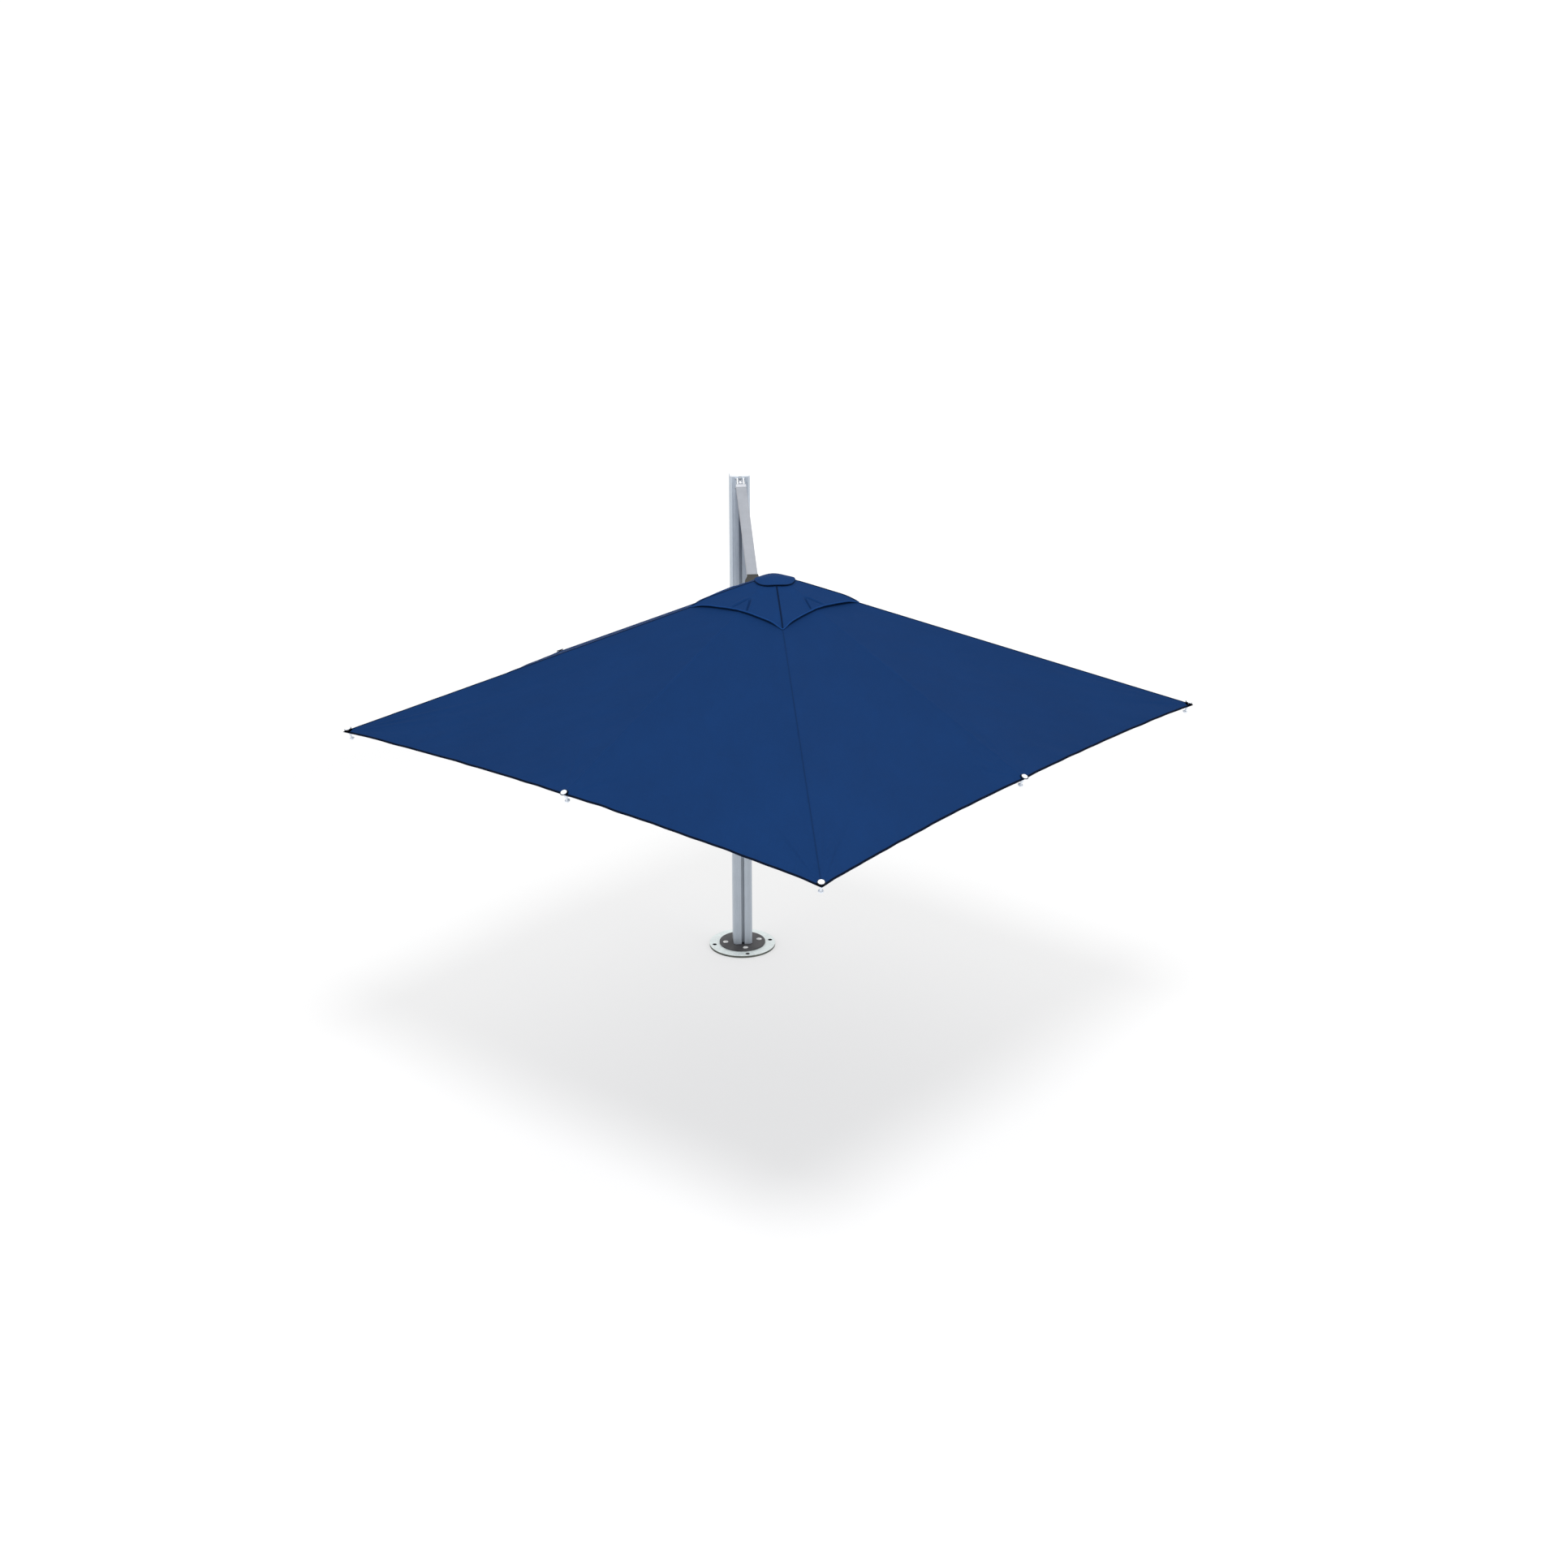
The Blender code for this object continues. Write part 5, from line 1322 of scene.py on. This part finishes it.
def make_back_band():
    """The canopy over the back rib, with the slit that the link's fork swings through."""
    rib = RIBS["back"]
    gore = beside(rib)[0][0]
    ys = np.linspace(-SLIT_HALF, SLIT_HALF, 13)
    part = np.linspace(0, 1, 50)[:, None]
    low = gore.c0 - np.abs(ys)[None, :]
    grids = cloth_grid(rib, low + (SLIT_START - low) * part, np.broadcast_to(ys, (50, 13)))
    add_cloth("canopy_back_band_upper", rib, grids, CANVAS)

    length = gore.c1 - SLIT_END
    inner = 1 - HEM_WIDTH * sqrt(2) / length
    fine = 0.0012 / length
    hole = (stem_radius(rib) - SLIT_END + STEM_HOLE * 1.5 * np.linspace(-1, 1, 15)) / length
    part = np.unique(np.concatenate([np.linspace(0, 0.93, 60), hole, [inner, inner + fine, 1 - fine, 1]]))
    part = part[np.concatenate([np.diff(part) > fine * 0.6, [True]])]
    start = notch(rib, SLIT_END + length * part, True)
    for sign in (-1, 1):
        gy = start[:, None] + (SLIT_HALF - start)[:, None] * np.linspace(0, 1, 8)[None, :]
        gx = SLIT_END + (gore.c1 - gy - SLIT_END) * part[:, None]
        grids = cloth_grid(rib, gx, sign * gy)
        item = add_cloth(f"canopy_back_band_{SIDE_NAMES[sign]}", rib, grids, CANVAS,
                         hem=part > inner + fine / 2, hem_material=CANVAS_HEM_PAINTED_SHADE)

    rows = np.linspace(SLIT_START - BINDING_WIDTH, SLIT_END + BINDING_WIDTH, 30)
    beyond = np.array([-0.002, 0, 0.006, BINDING_WIDTH])
    bindings = [(rows, sign * (SLIT_HALF + beyond), 0.0009) for sign in (-1, 1)]
    bindings += [(np.linspace(x, x + BINDING_WIDTH, 4), ys, 0.0010)
                 for x in (SLIT_START - BINDING_WIDTH, SLIT_END)]
    for i, (xs, asides, lift) in enumerate(bindings):
        gx, gy = np.meshgrid(xs, asides, indexing="ij")
        add_cloth(f"slit_binding_{i + 1}", rib, cloth_grid(rib, gx, gy, lift), CANVAS_TAPE, thick=0.0030)


def make_webbing(rib):
    """Webbing over a corner rib's tube."""
    half = [(0.0109, 0.0200), (0.0109, 0.0294), (0.0084, 0.0319)]
    inner = [(0.0081, 0.0312), (0.0102, 0.0291), (0.0102, 0.0200)]
    outline = half + [(-y, z) for y, z in reversed(half)]
    outline += [(-y, z) for y, z in reversed(inner)] + inner
    sleeve = moved(extruded([outline], (0.060, tip_end(rib) - 0.034), "yz"), rib.matrix)
    show(f"rib_webbing_{rib.name}", sleeve, RIB_WEBBING, f"rib_{rib.name}")


def make_seam(rib):
    """The seam over a rib: raised and dark over a corner rib, a flat tape over a mid-edge one."""
    gore = beside(rib)[0][0]
    at_corner = rib is gore.corner
    start = gore.c0 if at_corner else gore.m0
    end = stem_radius(rib) - RING_OUTER + 0.003
    half, rise, material = TAPE_HALF, TAPE_RISE, CANVAS_TAPE
    if at_corner:
        # painted shade: the left, right and back seams take the darkest canvas, the front one the seam canvas
        half, rise, material = SEAM_HALF, SEAM_RISE, CANVAS_SEAM if rib.name == "front" else CANVAS_PAINTED_SHADE
    runs = [(start + 0.004, end)]
    if rib.name == "back":
        runs = [(start + 0.004, SLIT_START - 0.015), (SLIT_END + 0.015, end)]
    for k, (low, high) in enumerate(runs):
        xs = np.append(np.arange(low, high - 0.006, 0.014), high)
        gx, gy = np.meshgrid(xs, half * np.array(SEAM_PLACES), indexing="ij")
        name = f"seam_{rib.name}" + (f"_{k + 1}" if len(runs) > 1 else "")
        add_cloth(name, rib, cloth_grid(rib, gx, gy, np.array(rise)), material, thick=0.0006)


def make_ring(rib):
    """The bound eyelet round the tip's stem, under its button."""
    turns = np.linspace(0, 2 * pi, 49)
    radii = np.array([STEM_HOLE, STEM_HOLE + 0.001, 0.0150, 0.0190, RING_OUTER - 0.0004, RING_OUTER])
    rise = np.array([0.0010, 0.0019, 0.0021, 0.0019, 0.0012, 0.0003])
    gr, ga = np.meshgrid(radii, turns, indexing="ij")
    centre = stem_radius(rib)
    grids = cloth_grid(rib, centre + gr * np.cos(ga), gr * np.sin(ga), rise[:, None])
    add_cloth(f"eyelet_{rib.name}", rib, grids, EYELET_WEBBING)


def make_vent():
    for gore in VENT_GORES.values():
        for rib, columns in ((gore.corner, 32), (gore.mid, 60)):
            at_corner = rib is gore.corner
            rows_out = 40 if at_corner else 90
            reaches = np.concatenate([np.linspace(0, 0.94, rows_out), [0.955, 0.975, 0.992, 1.0]])
            spread = np.linspace(0, 1, columns)
            start = 0.0 if at_corner else 1.0
            shares = np.broadcast_to(start + (CORNER_SHARE - start) * spread, (len(reaches), columns))
            grids = sampled(gore, shares, reaches)
            side = SIDE_NAMES[gore.side_of(rib)]
            item = add_cloth(f"vent_{rib.name}_rib_{side}", rib, grids, CANVAS_VENT_PAINTED_LIGHT)
            fold_with(item)
            make_piping(gore, rib, side, shares[-1])
    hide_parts("vent_cap")
    for name in CORNERS:
        make_vent_seam(RIBS[name])


def make_vent_seam(rib):
    """The raised seam down a corner of the vent cap, from under the crown cap to the piping."""
    gores = [gore for gore in VENT_GORES.values() if gore.corner is rib]
    gores.sort(key=lambda gore: rib.side.dot(gore.mid.out))
    xs = np.linspace(gores[0].inner + 0.004, gores[0].corner_end - 0.007, 40)
    ys = SEAM_HALF * np.array(SEAM_PLACES)
    gx, gy = np.meshgrid(xs, ys, indexing="ij")
    points, normals = np.zeros((*gx.shape, 3)), np.zeros((*gx.shape, 3))
    for gore, pick in zip(gores, (ys < 0, ys >= 0)):
        share, reach = gore.shares_at(np.abs(gy[:, pick]).ravel(), gx[:, pick].ravel())
        found, facing = gore.surface(share, reach)
        points[:, pick] = found.reshape(len(xs), -1, 3)
        normals[:, pick] = facing.reshape(len(xs), -1, 3)
    points += normals * np.array(VENT_SEAM_RISE)[:, None]
    grids = (points, normals, np.stack([gx, gy], -1))
    # painted shade: the vent seam is dark canvas
    add_cloth(f"vent_seam_{rib.name}", rib, grids, CANVAS_PAINTED_SHADE, thick=0.0006)


def make_piping(gore, rib, side, shares):
    """The rolled edge of the vent cap."""
    fine = np.linspace(shares[0], shares[-1], 26)
    points, normals = gore.surface(fine, np.full(26, 0.997))
    path = [Vector(p) - Vector(n) * 0.0006 for p, n in zip(points, normals)]
    name = f"piping_{rib.name}_rib_{side}"
    mesh = swept(path, PIPING_RADIUS, 14)
    # painted highlight: the piping takes the paler canvas
    item = show(name, mesh, CANVAS_PIPING_PAINTED_HIGHLIGHT, f"rib_{rib.name}", smooth=70)
    start = path[0]
    cloth_map(item, lambda p: ((p - start).length, p.z))
    fold_with(item)


def make_crown_collar():
    """A ring of cloth on the crown, hidden under the vent cap until the canopy folds."""
    top = VENT_GORES["front", "front_right"].top - 0.0030
    radii = np.linspace(COLLAR_INNER, COLLAR_OUTER, 9)
    profile = [(COLLAR_INNER, top)] + [(r, min(top, COLLAR_APEX - COLLAR_SLOPE * r)) for r in radii[1:]]
    outer = profile + [(r, z - COLLAR_THICK) for r, z in reversed(profile)]
    mesh = bmesh.new()
    rings = [[mesh.verts.new((x, y, z)) for x, y in circle(AXIS, r, 96)] for r, z in outer]
    mesh = skinned(mesh, rings + rings[:1], capped=False)
    item = show("crown_collar", mesh, CANVAS_VENT_PAINTED_LIGHT, "crown")
    cloth_map(item, lambda p: (p.x - AXIS.x, p.y - AXIS.y))


make_stage()
make_foot()
make_mast()
make_arm()
make_carriage()
make_crown()
for rib in RIBS.values():
    make_rib(rib)
make_canopy()
make_vent()
make_crown_collar()
